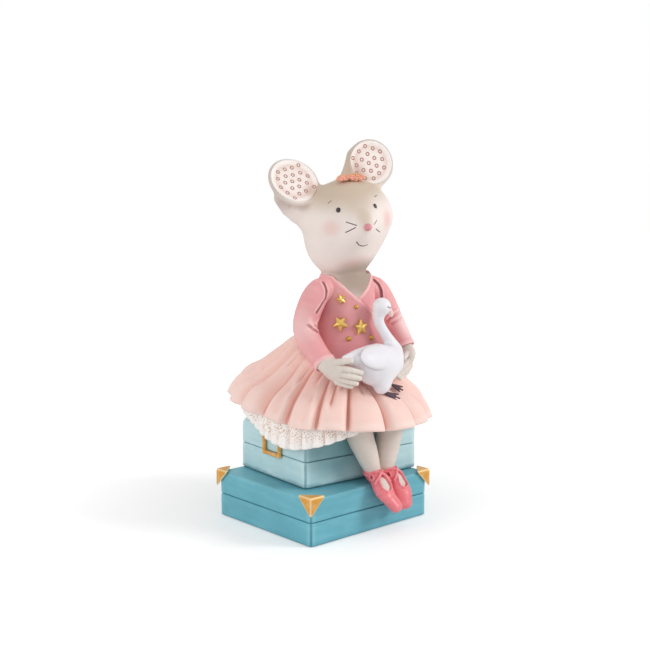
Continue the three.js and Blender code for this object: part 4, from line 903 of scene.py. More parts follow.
# Head with its ears, neck and the chest skin in the neckline, in one casting
headForm = {
    "height": 93.4, "yaw": -22.0, "roll": -11.0, "halfWidth": 21.3, "halfDepth": 19.5, "crown": 18.8, "chin": 25.5,
    "snout": 5.6, "noseAt": (-0.5, -25.0, -2.5), "noseRadii": (1.8, 1.7, 1.65),
    "jowls": [((-4.2, 1.0, -8.2), 15.4)], "jowlMeld": 3.2, "lean": 4.0, "snoutWidth": 0.36,
    "column": [(-1.3, 0.8, 65.0, 8.7), (-1.5, 0.8, 69.6, 8.8), (-1.8, 0.8, 73.0, 9.1), (-2.0, 1.0, 77.0, 10.2)],
}
earForm = {
    "right": {
        "at": (-21.3, 2.2, 21.8), "facing": (0.19, -0.825, 0.53), "lean": (-2.6, 0.8, -2.3), "radius": 12.0,
        "dish": 11.3,
    },
    "left": {
        "at": (17.1, 2.7, 23.2), "facing": (0.0, -0.982, 0.182), "lean": (-0.4, 0.0, 0.0), "radius": 10.9,
        "dish": 10.25,
    },
    # stalk: share of the way, how much it leans, how far behind, share of the width, thickness
    "stalk": [(0.42, 1.0, 2.3, 0.88, 7.4), (0.75, 1.0, 3.4, 0.9, 6.4), (1.0, 0.45, 2.9, 0.93, 3.5)],
    "cup": 4.4, "rim": 1.0, "dishDepth": 0.8, "cupMeld": 3.4, "headMeld": 3.6,
}
headEuler = (0.0, math.radians(headForm["roll"]), math.radians(headForm["yaw"]))
headTurn = np.array(Euler(headEuler).to_matrix())
headPlace = {"turn": headTurn, "at": (0.0, 0.0, headForm["height"])}
torsoForm = {
    "levels": [14, 22, 31, 38, 45, 52, 59, 64, 68.3, 69.7, 70.6],
    "wide": [13.7, 16.1, 17.0, 17.2, 16.4, 15.2, 14.9, 14.6, 12.8, 11.2, 10.4],
    "deep": [12.7, 14.1, 14.4, 14.4, 13.8, 12.7, 12.0, 11.2, 10.6, 10.3, 10.0],
    "neckline": [(-3.8, 58.2), (-8.2, 62.6), (-11.6, 67.0), (-13.0, 73.0), (10.0, 73.0), (7.0, 67.6), (2.6, 62.8)],
    "skinInset": 0.9, "chestHalf": 11.0, "chestTop": 69.0, "chestFoot": 51.5, "throatMeld": 3.2,
    "wrapStep": 0.6, "wrapSlope": 0.85, "edgeRoll": 0.22,
    "collarAt": (-1.4, 1.2), "collarRadius": 9.1, "collarFoot": 67.0,
    "swanSide": ((9.4, -8.6, 38.0), (5.4, 5.4, 8.0)),  # cloth beside the swan's neck
}


def earTurn(facing):
    forward = Vector(facing).normalized()
    side = forward.cross(Vector((0, 0, 1))).normalized()
    up = side.cross(forward).normalized()
    return np.array([list(side), list(forward), list(up)]).T  # columns: side, forward, up


def dishFloor(ear, radial):
    return earForm["rim"] - earForm["dishDepth"] * (1 - np.minimum(radial / ear["dish"], 1) ** 6)


def headSurface(directions):
    h = headForm
    d = directions / np.linalg.norm(directions, axis=1)[:, None]
    taper = 1 - 0.1 * smoothstep(-d[:, 2], 0, 1)
    tall = np.where(d[:, 2] > 0, h["crown"], h["chin"])
    return np.stack([d[:, 0] * h["halfWidth"] * taper, d[:, 1] * h["halfDepth"] * taper, d[:, 2] * tall], axis=1)


def headField(g):
    h = headForm
    taper = 1 - 0.1 * smoothstep(-g["z"] / h["chin"], 0, 1)
    x, y, z = (g["x"] + h["lean"] * smoothstep(-g["z"] / h["chin"], 0, 0.8)) / taper, g["y"] / taper, g["z"]
    tall = np.where(z > 0, h["crown"], h["chin"]).astype(np.float32)
    field = fromOval(x, y, z, (h["halfWidth"], h["halfDepth"], tall))
    nose = np.array(h["noseAt"]) / np.linalg.norm(h["noseAt"])
    for at, radius in h["jowls"]:
        field = meld(field, oval(g, at, (radius, radius, radius)), h["jowlMeld"])
    away = np.sqrt(x**2 + y**2 + z**2) + 1e-5
    toNose = np.arccos(np.clip(dot((x, y, z), nose) / away, -1, 1))
    return field - h["snout"] * np.exp(-((toNose / h["snoutWidth"]) ** 1.7))


def earField(g, ear):
    e = earForm
    at, turn = np.array(ear["at"]), earTurn(ear["facing"])
    forward, lean = turn[:, 1], np.array(ear["lean"])
    x, y, z = turned(*fromPoint(g, at), turn)
    radial = np.sqrt(x**2 + z**2)
    bowl = oval({"x": x, "y": y, "z": z}, (0, 0.3, 0), (ear["radius"] + 0.1, e["cup"], ear["radius"] + 0.1))
    cup = cut(bowl, e["rim"] - y, 0.5)
    stops = [
        (*(at * share + lean * most - forward * behind), ear["radius"] * wide, thick)
        for share, most, behind, wide, thick in e["stalk"]
    ]
    funnel = flatLimb(g, stops, forward, 6)
    dish = np.maximum(radial - ear["dish"], dishFloor(ear, radial) - y)
    return meld(cup, funnel, e["cupMeld"]), dish * 0.9


def torsoField(g, inset=0.0):
    t = torsoForm
    level = g["z"].ravel()
    wide, deep = (
        np.interp(level, t["levels"], t[way])[None, None, :].astype(np.float32) - inset for way in ("wide", "deep")
    )
    nape = smoothstep(g["z"], 57, 67)
    deep = deep * (1 - 0.07 * (1 + np.tanh(g["y"] / 5)) * (1 - nape)) + 0.9 * nape * (1 + np.tanh(g["y"] / 3))
    field = fromOval(g["x"], g["y"], 0.0, (wide, deep, 1.0))
    return np.maximum(np.maximum(field, g["z"] - t["levels"][-1] + inset), t["levels"][0] - g["z"])


def headPiece():
    g = clay((-40, -28, 50), (32, 21, 134), claySteps["head"])
    local = dict(zip("xyz", turned(g["x"], g["y"], g["z"] - headForm["height"], headTurn)))
    cups, dishes = zip(*(earField(local, earForm[side]) for side in ("right", "left")))
    field = melded([headField(local), *cups], earForm["headMeld"])
    for dish in dishes:
        field = cut(field, dish, 0.25)
    t = torsoForm
    chest = np.maximum(torsoField(g, t["skinInset"]), np.abs(g["x"]) - t["chestHalf"])
    throat = meld(np.maximum(chest, g["z"] - t["chestTop"]), limb(g, headForm["column"], 7), 2.5)
    field = np.maximum(meld(field, throat, t["throatMeld"]), t["chestFoot"] - g["z"])
    covered = ["head", "ear_right", "ear_left", "neck"]
    return clayPiece("head_ears_and_neck", g, field, "facePaint", covered)


faceForm = {
    # in the head's own frame, in millimetres: it looks along -Y
    "brow": [((-12.0, -12.0, 10.2), (-10.5, -12.3, 11.1)), ((9.2, -14.8, 9.0), (10.8, -13.6, 9.4))],
    "whiskers": [
        ((-8.0, -19.7, 1.2), (-6.4, -20.9, 0.2), (-4.5, -22.2, -1.0)),
        ((-8.8, -18.8, -3.3), (-7.0, -20.2, -2.7), (-5.0, -21.6, -1.9)),
        ((5.5, -21.6, -0.7), (3.7, -22.4, -2.2)), ((4.5, -21.5, -4.4), (7.2, -19.1, -6.3)),
    ],
    "smile": [
        (-4.7, -19.1, -8.5), (-3.8, -18.8, -9.9), (-2.4, -18.7, -10.7), (-0.9, -18.7, -10.9), (0.3, -18.9, -10.6),
    ],
    "widths": {"brow": 0.22, "whiskers": 0.3, "smile": 0.36},
    "eyes": {"right": ((-9.4, -16.4, 6.8), (1.05, 0.55, 1.2)), "left": ((7.2, -18.6, 5.3), (0.8, 0.5, 1.15))},
    "towards": (-0.308, -0.933, 0.187), "ink": 0x55403C,
    "shades": {
        0xCDBAA5: [  # grey-brown of the crown and the nose
            ((0, -5, 20), (30, 28, 21), 0.95, 0.5), ((-0.5, -19, 7), (10, 11, 9.5), 0.6, 0.2),
            ((-0.3, -23, 1.0), (5.0, 8, 8.0), 0.7, 0.2),
        ],
        0xAC988A: [  # painted shade under the chin, and greige paint with painted shade at the ears
            ((-3, -4, -26), (20, 22, 12), 0.95, 0.35), ((-1, 0, -31), (15, 15, 13), 0.85, 0.6),
            ((-5, -13, -21), (12, 10, 7), 0.5, 0.1), ((-27.0, 4, 22), (17, 13, 17), 0.55, 0.6),
            ((20, 5, 26), (16, 13, 16), 0.55, 0.6),
        ],
        0xF0B5B0: [  # blush
            ((-13.9, -14.9, -0.4), (6.2, 7, 5.6), 0.42, 0.1), ((13.4, -15.4, -2.0), (5.6, 6, 6.5), 0.6, 0.1),
            ((-5.8, -12.7, -17.5), (11, 9, 5), 0.25, 0.1),
        ],
    },
    # painted shade on one side of each ear lining
    "liningPaintedShade": {
        0xC09A88: [((9.5, 0, 19.0), (7, 7, 11), 0.7, 0.1)], 0xD9AF9C: [((-13.5, 0, 15.5), (7, 7, 7), 0.6, 0.1)],
    },
}


def dressFace():
    f, place = faceForm, placeAbove("facePaint", headForm["height"], headEuler)
    spots("facePaint", place, f["shades"])
    lines = [(line, f["widths"][kind]) for kind in ("brow", "whiskers") for line in f[kind]]
    lines.append((f["smile"], f["widths"]["smile"]))
    strokes("facePaint", place, lines, f["ink"], headField, f["towards"])
    spots("liningPaint", placeAbove("liningPaint", headForm["height"], headEuler), f["liningPaintedShade"])


def eyePiece(side, at, radii):
    at = np.array(at)
    nearest = at / np.array([headForm["halfWidth"], headForm["halfDepth"], headForm["crown"]]) ** 2
    turn = earTurn(nearest / np.linalg.norm(nearest))
    g = clay((-2, -1.2, -2), (2, 1.2, 2), claySteps["eye"])
    field = oval(g, (0, 0, 0), radii)
    place = {"turn": headTurn @ turn, "at": headTurn @ at + np.array(headPlace["at"])}
    return clayPiece(f"eye_{side}", g, field, "eyePaint", place=place)


def nosePiece():
    at = np.array(headForm["noseAt"])
    g = clay(at - 3.2, at + 3.2, claySteps["nose"])
    field = oval(g, at, headForm["noseRadii"])
    field = cut(field, rod(g, at + np.array([0, -2.5, -0.6]), at + np.array([0, -2.3, -2.4]), 0.35), 0.6)
    return clayPiece("nose_tip", g, field, "nosePaint", ["nose"], headPlace)


dressFace()
headPiece()
nosePiece()
for side, (at, radii) in faceForm["eyes"].items():
    eyePiece(side, at, radii)
print("stage: head")

# Ear linings with their printed rings, laid by a tree
ringForm = {"Ring Size": 0.74, "Line Width": 0.27, "Spacing": 3.65, "Seed": 5}


def ringTree():
    tree, given, out = geometryTree("printedRings", ringForm, "Ring Paint")
    spread = addNode(tree, "GeometryNodeDistributePointsOnFaces", {
        "Mesh": given["Geometry"], "Selection": named(tree, "front"), "Distance Min": given["Spacing"],
        "Density Max": 8.0, "Seed": given["Seed"],
    }, distribute_method="POISSON")

    def hoop(resolution, radius):
        return fromNode(tree, "GeometryNodeCurvePrimitiveCircle", {"Resolution": resolution, "Radius": radius})

    tube = hoop(20, given["Ring Size"]).through("CurveToMesh", Profile_Curve=hoop(8, given["Line Width"]))
    tube = tube.through("Transform", Scale=(1.0, 1.0, 0.4))
    points, rotation = (Wire(tree, spread.outputs[label]) for label in ("Points", "Rotation"))
    rings = points.through("InstanceOnPoints", Instance=tube, Rotation=rotation)
    rings = rings.through("RealizeInstances").painted(given["Ring Paint"])
    joined(tree, rings, given["Geometry"]).through("RealizeInstances").into(out["Geometry"])
    return tree


printedRings = ringTree()


def liningPiece(side, seed):
    ear, turn = earForm[side], earTurn(earForm[side]["facing"])
    count, radii = 72, np.linspace(1, 0, 17)[:-1] * (ear["dish"] - 0.05)
    angle = np.arange(count) / count * 2 * math.pi
    rows, front = [], []
    for lift, order in ((0.16, radii[::-1]), (-0.4, radii)):
        for r in order:
            floor = np.full(count, dishFloor(ear, r) + lift)
            rows.append(np.stack([r * np.cos(angle), floor, r * np.sin(angle)], axis=1))
            front.append(np.full(count, 1.0 if lift > 0 and r < ear["dish"] - 0.9 else 0.0))
    points, faces = ringSkin([row @ turn.T + np.array(ear["at"]) for row in rows])
    points = points @ headPlace["turn"].T + np.array(headPlace["at"])
    base = baseMesh("lining", points, faces=faces, front=np.concatenate([*front, [1.0, 0.0]]))
    base.materials.append(paintOf("liningPaint"))
    mesh = grown(base, printedRings, {**ringForm, "Seed": seed, "Ring Paint": paintOf("ringPaint")})
    return settled(f"ear_lining_{side}_print", mesh, [f"ear_lining_{side}"])


liningPiece("right", 5)
liningPiece("left", 11)
print("stage: ear linings")

# Flower garland on the crown: blossoms set along a path by a tree
garlandForm = {"Blossoms": 7, "Blossom Size": 2.1, "Petals": 6, "Petal Width": 0.46, "Seed": 4}
garlandPath = {"start": -8.0, "end": 28.0, "forward": -0.5, "rise": 1.5, "above": 1.5}


def garlandTree():
    tree, given, out = geometryTree("flowerGarland", garlandForm, "Petal Paint", "Stamen Paint")

    def ball(segments, rings, scale, lift=0.0):
        sphere = fromNode(tree, "GeometryNodeMeshUVSphere", {"Segments": segments, "Rings": rings})
        return sphere.through("Transform", Scale=scale, Translation=(0, 0, lift))

    def facing(vector, axis):
        return fromNode(tree, "FunctionNodeAlignRotationToVector", {"Vector": vector}, axis=axis)

    def wreath(radius, size, turn, lift):
        circle = fromNode(tree, "GeometryNodeMeshCircle", {"Vertices": given["Petals"], "Radius": radius})
        outward = facing(fromNode(tree, "GeometryNodeInputPosition"), "X")
        petals = circle.through("InstanceOnPoints", Instance=petal, Rotation=outward, Scale=(size, size, size))
        petals = petals.through("Transform", Rotation=Euler((0, 0, turn)), Translation=(0, 0, lift))
        return petals.painted(given["Petal Paint"])

    def chance(kind, low, high, offset):
        first = 2 if kind == "FLOAT" else 0
        values = {first: low, first + 1: high, "Seed": given["Seed"] + offset}
        return fromNode(tree, "FunctionNodeRandomValue", values, first // 2, data_type=kind)

    petal = ball(10, 7, vectorOf(tree, 0.58, given["Petal Width"], 0.4))
    middle = ball(8, 6, (0.22, 0.22, 0.22), 0.72).painted(given["Stamen Paint"])
    flower = joined(tree, wreath(0.6, 1.0, 0.0, 0.0), wreath(0.32, 0.68, 0.5, 0.42), middle)
    places = given["Geometry"].through("MeshToCurve").through("ResampleCurve", Count=given["Blossoms"])
    tilt = chance("FLOAT_VECTOR", (-0.35, -0.35, 0.0), (0.35, 0.35, 2.0), 7)
    upright = {0: facing(named(tree, "away", "FLOAT_VECTOR"), "Z"), 1: tilt}
    spin = fromNode(tree, "FunctionNodeRotateRotation", upright, rotation_space="LOCAL")
    size = given["Blossom Size"] * chance("FLOAT", 0.85, 1.15, 3)
    blossoms = places.through("InstanceOnPoints", Instance=flower, Rotation=spin, Scale=size)
    blossoms.through("RealizeInstances").into(out["Geometry"])
    return tree


def garlandPiece():
    p = garlandPath
    turn = np.radians(np.linspace(p["start"], p["end"], 24))
    directions = np.stack([np.sin(turn), np.full_like(turn, p["forward"]), p["rise"] * np.cos(turn)], axis=1)
    away = directions / np.linalg.norm(directions, axis=1)[:, None]
    zigzag = np.stack([np.zeros_like(turn), np.cos(turn * 22), -0.35 * np.cos(turn * 22)], axis=1) * 0.55
    points = (headSurface(directions) + away * p["above"] + zigzag) @ headTurn.T + np.array(headPlace["at"])
    edges = [(i, i + 1) for i in range(len(points) - 1)]
    base = baseMesh("garland", points, edges=edges, away=away @ headTurn.T)
    values = {**garlandForm, "Petal Paint": paintOf("petalPaint"), "Stamen Paint": paintOf("stamenPaint")}
    return settled("flower_garland", grown(base, garlandTree(), values), ["flower_band"])


garlandPiece()
print("stage: flowers")


# Bodice
def polygonField(u, v, corners):
    best, sign = None, None
    for (ax, ay), (bx, by) in zip(corners, corners[1:] + corners[:1]):
        ex, ey = bx - ax, by - ay
        share = np.clip(((u - ax) * ex + (v - ay) * ey) / (ex * ex + ey * ey), 0, 1)
        d = (u - ax - share * ex) ** 2 + (v - ay - share * ey) ** 2
        crosses = ((ay > v) != (by > v)) & (u < (bx - ax) * (v - ay) / (by - ay if by != ay else 1e-9) + ax)
        best = d if best is None else np.minimum(best, d)
        sign = crosses if sign is None else sign ^ crosses
    return np.where(sign, -np.sqrt(best), np.sqrt(best))


def bodicePiece():
    t = torsoForm
    g = clay((-21, -18, 13), (21, 16, 73), claySteps["bodice"])
    field = torsoField(g)
    tip = t["neckline"][0]
    wrap = (g["z"] - tip[1]) + t["wrapSlope"] * (g["x"] - tip[0])  # the lapel's edge runs on past the point
    under = smoothstep(wrap, 0.0, 0.5) * (g["y"] < 0) * smoothstep(g["x"], tip[0] - 1, tip[0] + 0.5)
    field = field + t["wrapStep"] * under
    opening = polygonField(g["x"], g["z"], t["neckline"])
    field = meld(field, oval(g, *t["swanSide"]), 2.5)
    rim = np.abs(opening - 0.8) - 0.8
    field = field - t["edgeRoll"] * (1 - smoothstep(rim, 0, 0.6)) * (g["y"] < 0)
    field = cut(field, np.maximum(opening, g["y"] - 1.0), 0.5)
    x, y = t["collarAt"]
    collar = np.sqrt((g["x"] - x) ** 2 + (g["y"] - y) ** 2) - t["collarRadius"]
    field = cut(field, np.maximum(collar, t["collarFoot"] - g["z"]), 0.5)
    return clayPiece("bodice_cloth", g, field, "cardiganPaint", ["bodice"])


cardiganPlace = placeAbove("cardiganPaint")
# the bodice front painted darker; painted shade by the right armpit; painted highlight on the outer side of both
# sleeves
spots("cardiganPaint", cardiganPlace, {
    0xC97E84: [((-3, -10, 42), (17, 12, 24), 0.5, 0.2)], 0xA9666B: [((-14, -7, 50), (7, 8, 15), 0.4, 0.2)],
    0xF8D3D0: [((-27, 0, 45), (7, 10, 14), 0.6, 0.2)], 0xFCE4E1: [((26, -12, 44), (8, 10, 16), 0.7, 0.2)],
})
bodicePiece()

# Arms
armForm = {
    "right": {
        "sleeve": [
            (-8.5, 0, 63.0, 5.0), (-16.4, 0.4, 61.8, 5.8), (-21.2, 1.4, 55.2, 5.9), (-24.0, 2.0, 45.2, 5.5),
            (-24.8, -5.0, 37.0, 5.2), (-24.7, -11.0, 31.9, 4.9),
        ],
        "cuffAt": (-24.6, -12.6, 30.5), "cuffFacing": (0.0, -0.76, -0.65), "cuffRadius": 5.15,
        "seam": [
            (-17.6, -2.7, 65.2), (-17.6, -4.8, 62.2), (-18.1, -4.9, 59.1), (-20.0, -4.3, 56.5), (-22.4, -3.7, 53.1),
        ],
        "palm": ((-24.2, -17.4, 28.6), (2.9, 5.6, 4.6), (-0.2, 0.05, -0.12)),
        "wrist": [(-25.4, -11.6, 31.6, 3.8), (-25.0, -15.6, 30.2, 4.0)],
        "fingers": [
            [(-24.0, -20.8, 29.8, 1.9), (-21.4, -25.5, 29.3, 1.4), (-17.0, -27.1, 28.0, 1.2)],
            [(-23.8, -21.2, 27.6, 1.9), (-21.6, -25.8, 26.8, 1.4), (-17.8, -27.1, 25.6, 1.2)],
            [(-23.6, -20.8, 25.4, 1.8), (-21.6, -24.6, 24.4, 1.35), (-18.8, -26.2, 23.3, 1.15)],
            [(-23.8, -19.6, 23.9, 1.7), (-22.0, -22.6, 22.6, 1.25), (-19.9, -24.2, 21.8, 1.0)],
        ],
        "thumb": [(-25.0, -18.6, 31.8, 2.0), (-23.6, -22.4, 33.0, 1.5), (-20.9, -24.9, 33.4, 1.25)],
        "creases": [
            [(-25.3, -2.3, 48.5), (-24.1, -2.9, 46.8), (-21.9, -2.8, 45.7)],
            [(-25.7, -2.4, 47.1), (-24.3, -3.8, 45.1), (-22.1, -4.7, 43.2)],
            [(-20.6, -3.4, 47.8), (-21.8, -3.2, 46.8)],
        ],
    },
    "left": {
        "sleeve": [
            (8.5, 0, 63.0, 5.0), (16.8, -1.0, 60.8, 5.8), (20.6, -2.9, 54.9, 5.7), (23.0, -6.1, 47.4, 5.25),
            (24.0, -10.4, 40.3, 4.85), (24.3, -13.4, 35.4, 4.5),
        ],
        "cuffAt": (24.3, -14.4, 33.8), "cuffFacing": (0.02, -0.55, -0.83), "cuffRadius": 4.75,
        "seam": [(12.5, -5.6, 66.2), (14.8, -6.6, 62.6), (15.4, -7.4, 58.8), (14.8, -7.8, 55.4)],
        "palm": ((23.4, -16.8, 29.4), (2.7, 3.4, 5.0), (0.3, 0.2, 0.1)),
        "wrist": [(24.4, -14.2, 34.4, 3.2), (24.4, -15.6, 31.6, 3.4)],
        "fingers": [
            [(21.6, -18.0, 27.6, 1.7), (16.6, -19.4, 25.4, 1.4), (12.4, -20.0, 23.8, 1.2)],
            [(22.6, -18.2, 26.2, 1.7), (17.0, -20.0, 23.8, 1.4), (12.6, -20.6, 22.2, 1.2)],
            [(23.6, -17.8, 25.4, 1.6), (18.6, -20.0, 22.6, 1.35), (14.0, -20.8, 21.0, 1.1)],
        ],
        "thumb": [(23.0, -16.8, 32.0, 1.8), (20.6, -18.0, 31.0, 1.45), (18.4, -19.2, 29.8, 1.2)],
        "creases": [
            [(18.6, -8.1, 46.0), (20.4, -9.4, 48.2), (22.1, -10.7, 49.8), (24.6, -10.3, 50.5)],
            [(19.5, -10.1, 44.8), (21.4, -11.4, 46.2), (23.3, -12.2, 47.5)],
        ],
    },
}


def sleevePiece(side, arm):
    stops = np.array(arm["sleeve"])
    g = clay(stops[:, :3].min(0) - 8, stops[:, :3].max(0) + 8, claySteps["sleeve"])
    field = limb(g, arm["sleeve"], 16)
    n = Vector(arm["cuffFacing"]).normalized()
    x, y, z = fromPoint(g, arm["cuffAt"])
    h = dot((x, y, z), n)
    radial = np.sqrt(np.maximum(x**2 + y**2 + z**2 - h**2, 0))
    field = meld(field, np.maximum(np.abs(h + 0.9) - 0.9, radial - arm["cuffRadius"]), 0.8)
    field = np.maximum(field, h)
    field = cut(field, np.maximum(radial - arm["cuffRadius"] + 0.85, -h - 1.2), 0.35)

    def armShape(at):
        return limb(at, arm["sleeve"], 16)

    for crease in arm["creases"]:
        line = pressed(along(crease, 6), armShape, 0.1)
        field = meld(field, thread(g, line + np.array([0, 0, 1.1]), 0.35, 9), 1.6)
        field = cut(field, thread(g, line, 0.2, 9), 1.5)
    seam = pressed(along(arm["seam"], 9), armShape, 0.05)
    outer = np.array([0.75 * np.sign(seam[0, 0]), 0.2, 0])
    field = meld(field, thread(g, pressed(seam + outer, armShape, 0.15), 0.55, 17), 0.8)
    field = cut(field, thread(g, seam, 0.5, 17), 0.45)
    # a dark line painted along the armhole seam: the seam line, and painted shade in its groove
    strokes("cardiganPaint", cardiganPlace, [(seam[::2], 1.1)], 0xA9696E, armShape)
    return clayPiece(f"sleeve_{side}_cloth", g, field, "cardiganPaint", [f"sleeve_{side}"])


def handPiece(side, arm):
    ends = np.array([p for finger in arm["fingers"] for p in finger] + arm["wrist"] + arm["thumb"])
    g = clay(ends[:, :3].min(0) - 6, ends[:, :3].max(0) + 6, claySteps["hand"])
    field = meld(oval(g, *arm["palm"]), limb(g, arm["wrist"], 3), 2.2)
    field = meld(field, melded((limb(g, finger, 6) for finger in arm["fingers"]), 0.25), 1.0)
    field = meld(field, limb(g, arm["thumb"], 6), 0.4)
    return clayPiece(f"hand_{side}_skin", g, field, "skinPaint", [f"hand_{side}"])


for side, arm in armForm.items():
    sleevePiece(side, arm)
    handPiece(side, arm)
print("stage: bodice, sleeves and hands")


# Swan
swanForm = {
    "body": ((-1.7, -22.4, 28.9), (12.1, 7.7, 9.3)),
    "tail": [(-4.0, -22.4, 31.4, 7.0), (-12.0, -22.0, 33.0, 4.8), (-20.4, -21.4, 33.4, 2.2)],
    "thigh": ((-1.6, -25.2, 21.6), (4.4, 3.8, 5.4), (0.1, 0.35, 0)),
    "neck": [
        (7.6, -21.6, 30.4, 5.4), (9.4, -21.2, 33.9, 4.2), (8.6, -20.5, 37.3, 3.0), (6.7, -19.8, 40.3, 2.6),
        (4.4, -18.9, 44.1, 2.4), (2.5, -18.4, 47.8, 2.4), (2.3, -18.3, 51.7, 2.9),
    ],
    "head": ((3.5, -19.2, 54.8), (4.4, 4.1, 4.1), (0, 0.3, 0)),
    "wing": ((-7.6, -27.4, 33.9), (10.2, 2.6, 5.6), (-0.5, 0.05, 0.1)),
    "wingTip": [(-12.0, -25.6, 33.0, 2.6), (-17.0, -23.8, 32.8, 1.2)],
    "beak": [(5.6, -20.6, 53.8, 1.7), (6.3, -22.2, 52.1, 1.2), (6.1, -22.8, 50.9, 0.65)],
    "eye": [(3.3, -23.2, 55.2), (4.4, -23.3, 54.4), (5.7, -22.9, 54.8)], "eyeTowards": (-0.663, -0.738, 0.125),
}


def swanPiece():
    s = swanForm
    g = clay((-25, -35, 14), (20, -10, 62), claySteps["swan"])
    field = meld(oval(g, *s["body"]), limb(g, s["tail"], 8), 3.0)
    field = meld(field, oval(g, *s["thigh"]), 1.6)
    field = meld(field, limb(g, s["neck"], 18), 3.8)
    field = meld(field, swanHead(g), 1.4)
    wing = meld(oval(g, *s["wing"]), limb(g, s["wingTip"], 5), 2.0)
    field = meld(field, wing, 1.0)
    return clayPiece("swan_plumage", g, field, "swanPaint", ["swan_body", "swan_neck", "swan_wing"])


def beakPiece():
    g = clay((0, -27, 45), (10, -14, 57), claySteps["beak"])
    return clayPiece("swan_bill", g, limb(g, swanForm["beak"], 6), "beakPaint", ["swan_beak"])


def webPiece(side, root, tips):
    root, tips = np.array(root), np.array(tips)
    g = clay(np.minimum(root, tips.min(0)) - 2.2, np.maximum(root, tips.max(0)) + 2.4, claySteps["web"])
    field = rod(g, root, root + (tips[1] - root) * 0.4, 0.62, 0.5)
    for tip in tips:
        field = meld(field, rod(g, root, tip, 0.42, 0.36), 0.2)
    for a, b in zip(tips[:-1], tips[1:]):  # web between two toes
        for share in (0.25, 0.5, 0.75):
            middle = (a * (1 - share) + b * share) * 0.82 + root * 0.18
            field = meld(field, rod(g, root + (middle - root) * 0.35, middle, 0.3, 0.26), 0.2)
    return clayPiece(f"swan_web_{side}", g, field, "webPaint", [f"swan_foot_{side}"])


def swanHead(g):
    return oval(g, *swanForm["head"])


eyeLine = [(swanForm["eye"], 0.3)]
strokes("swanPaint", placeAbove("swanPaint"), eyeLine, faceForm["ink"], swanHead, swanForm["eyeTowards"])
swanPiece()
beakPiece()
webPiece("left", (8.2, -20.2, 19.0), [(13.6, -22.7, 17.4), (12.4, -24.2, 16.2), (10.2, -24.4, 15.9)])
webPiece("right", (-1.1, -24.6, 17.2), [(7.9, -25.7, 15.0), (7.2, -27.2, 13.5), (4.2, -28.2, 13.1)])
print("stage: swan")


# Legs and slippers
legForm = {
    "right": {
        "knee": (-9.4, -18.0), "ankle": (-2.4, -20.0, -19.6),
        "foot": [(-2.1, -19.6, -21.3), (-2.6, -24.3, -23.2), (-2.8, -28.6, -28.4), (-0.4, -33.0, -34.0)],
    },
    "left": {
        "knee": (9.6, -18.8), "ankle": (5.8, -20.2, -19.8),
        "foot": [(6.3, -20.0, -21.3), (7.1, -24.0, -23.2), (7.9, -27.4, -28.4), (6.9, -30.5, -34.7)],
    },
}
slipperForm = {
    "wide": 4.7, "thick": 3.1, "skin": 0.45, "ribbon": 0.6, "ribbonTurn": 4.1,
    "shares": [(0.76, 1.0), (0.84, 1.05), (1.0, 0.9), (0.84, 0.78)],
    "opening": [(0.37, 0.5, 1.3), (0.46, 0.5, 2.3), (0.56, 0.5, 2.8)], "gap": (0.24, 0.9, 0.9),
}


def footStops(leg, inset):
    s = slipperForm
    return [(*p, (s["wide"] - inset) * w, (s["thick"] - inset) * t) for p, (w, t) in zip(leg["foot"], s["shares"])]


def legPiece(side, leg):
    x, y = leg["knee"]
    ax, ay, az = leg["ankle"]
    g = clay((min(x, ax) - 8, -36, -40), (max(x, ax) + 8, -8, 12), claySteps["leg"])
    stops = [
        (x, y + 1, 9, 6.2), (x, y, -1, 6.2), ((x + ax) / 2, (y + ay) / 2, (az - 1) / 2, 5.35), (ax, ay, az, 3.75),
        (ax, ay - 0.4, az - 2, 3.4),
    ]
    foot = flatLimb(g, footStops(leg, slipperForm["skin"]), (0, 0, 1))
    field = meld(limb(g, stops, 14), foot, 1.2)
    return clayPiece(f"leg_{side}_stocking", g, field, "skinPaint", [f"leg_{side}"])


def slipperPiece(side, leg):
    s = slipperForm
    ax, ay, az = leg["ankle"]
    toes = np.array(leg["foot"])
    g = clay(toes.min(0) - 8, toes.max(0) + np.array([8, 6, 7]), claySteps["slipper"])
    outer = flatLimb(g, footStops(leg, -s["skin"]), (0, 0, 1), 12)
    stops = along(footStops(leg, 0), 21)

    def onTop(t, sideways, lift=0.0):  # sideways in half turns, from its left to its right
        i = min(int(round(t * 20)), 19)
        p, forward = stops[i], (stops[i + 1] - stops[i])[:3]
        forward = forward / np.linalg.norm(forward)
        across = np.cross((0, 0, 1), forward)
        across /= np.linalg.norm(across)
        top = np.cross(forward, across)
        angle = math.pi * sideways
        return p[:3] + across * (p[3] + lift) * math.cos(angle) + top * (p[4] + lift) * math.sin(angle)

    opening = limb(g, [(*onTop(t, at, 0.9), r) for t, at, r in s["opening"]], 7)
    t, at, r = s["gap"]
    holes = np.minimum(opening, rod(g, onTop(t, at, 0.4), onTop(t + 0.06, at, 0.4), r, r * 0.5))
    field = cut(outer, holes, 0.4)
    edge = np.maximum(np.abs(holes - 0.3) - 0.3, np.abs(outer) - 0.35)
    field = meld(field, edge, 0.35)
    for a, b in ((0.1, 0.86), (0.9, 0.14)):  # crossed ribbons
        line = [onTop(0.09 + 0.34 * share, a + (b - a) * share, 0.45) for share in np.linspace(0, 1, 8)]
        field = meld(field, thread(g, line, s["ribbon"], 8), 0.3)
    turn, reach = np.linspace(0, 2 * math.pi, 25), s["ribbonTurn"]
    loop = np.stack([ax + reach * np.cos(turn), ay + reach * np.sin(turn), az - 0.2 + 0.9 * np.sin(turn)], axis=1)
    field = melded([field, *(thread(g, loop - (0, 0, down), s["ribbon"], 25) for down in (0, 1.2))], 0.3)
    return clayPiece(f"slipper_{side}_shoe", g, field, "slipperPaint", [f"slipper_{side}"])


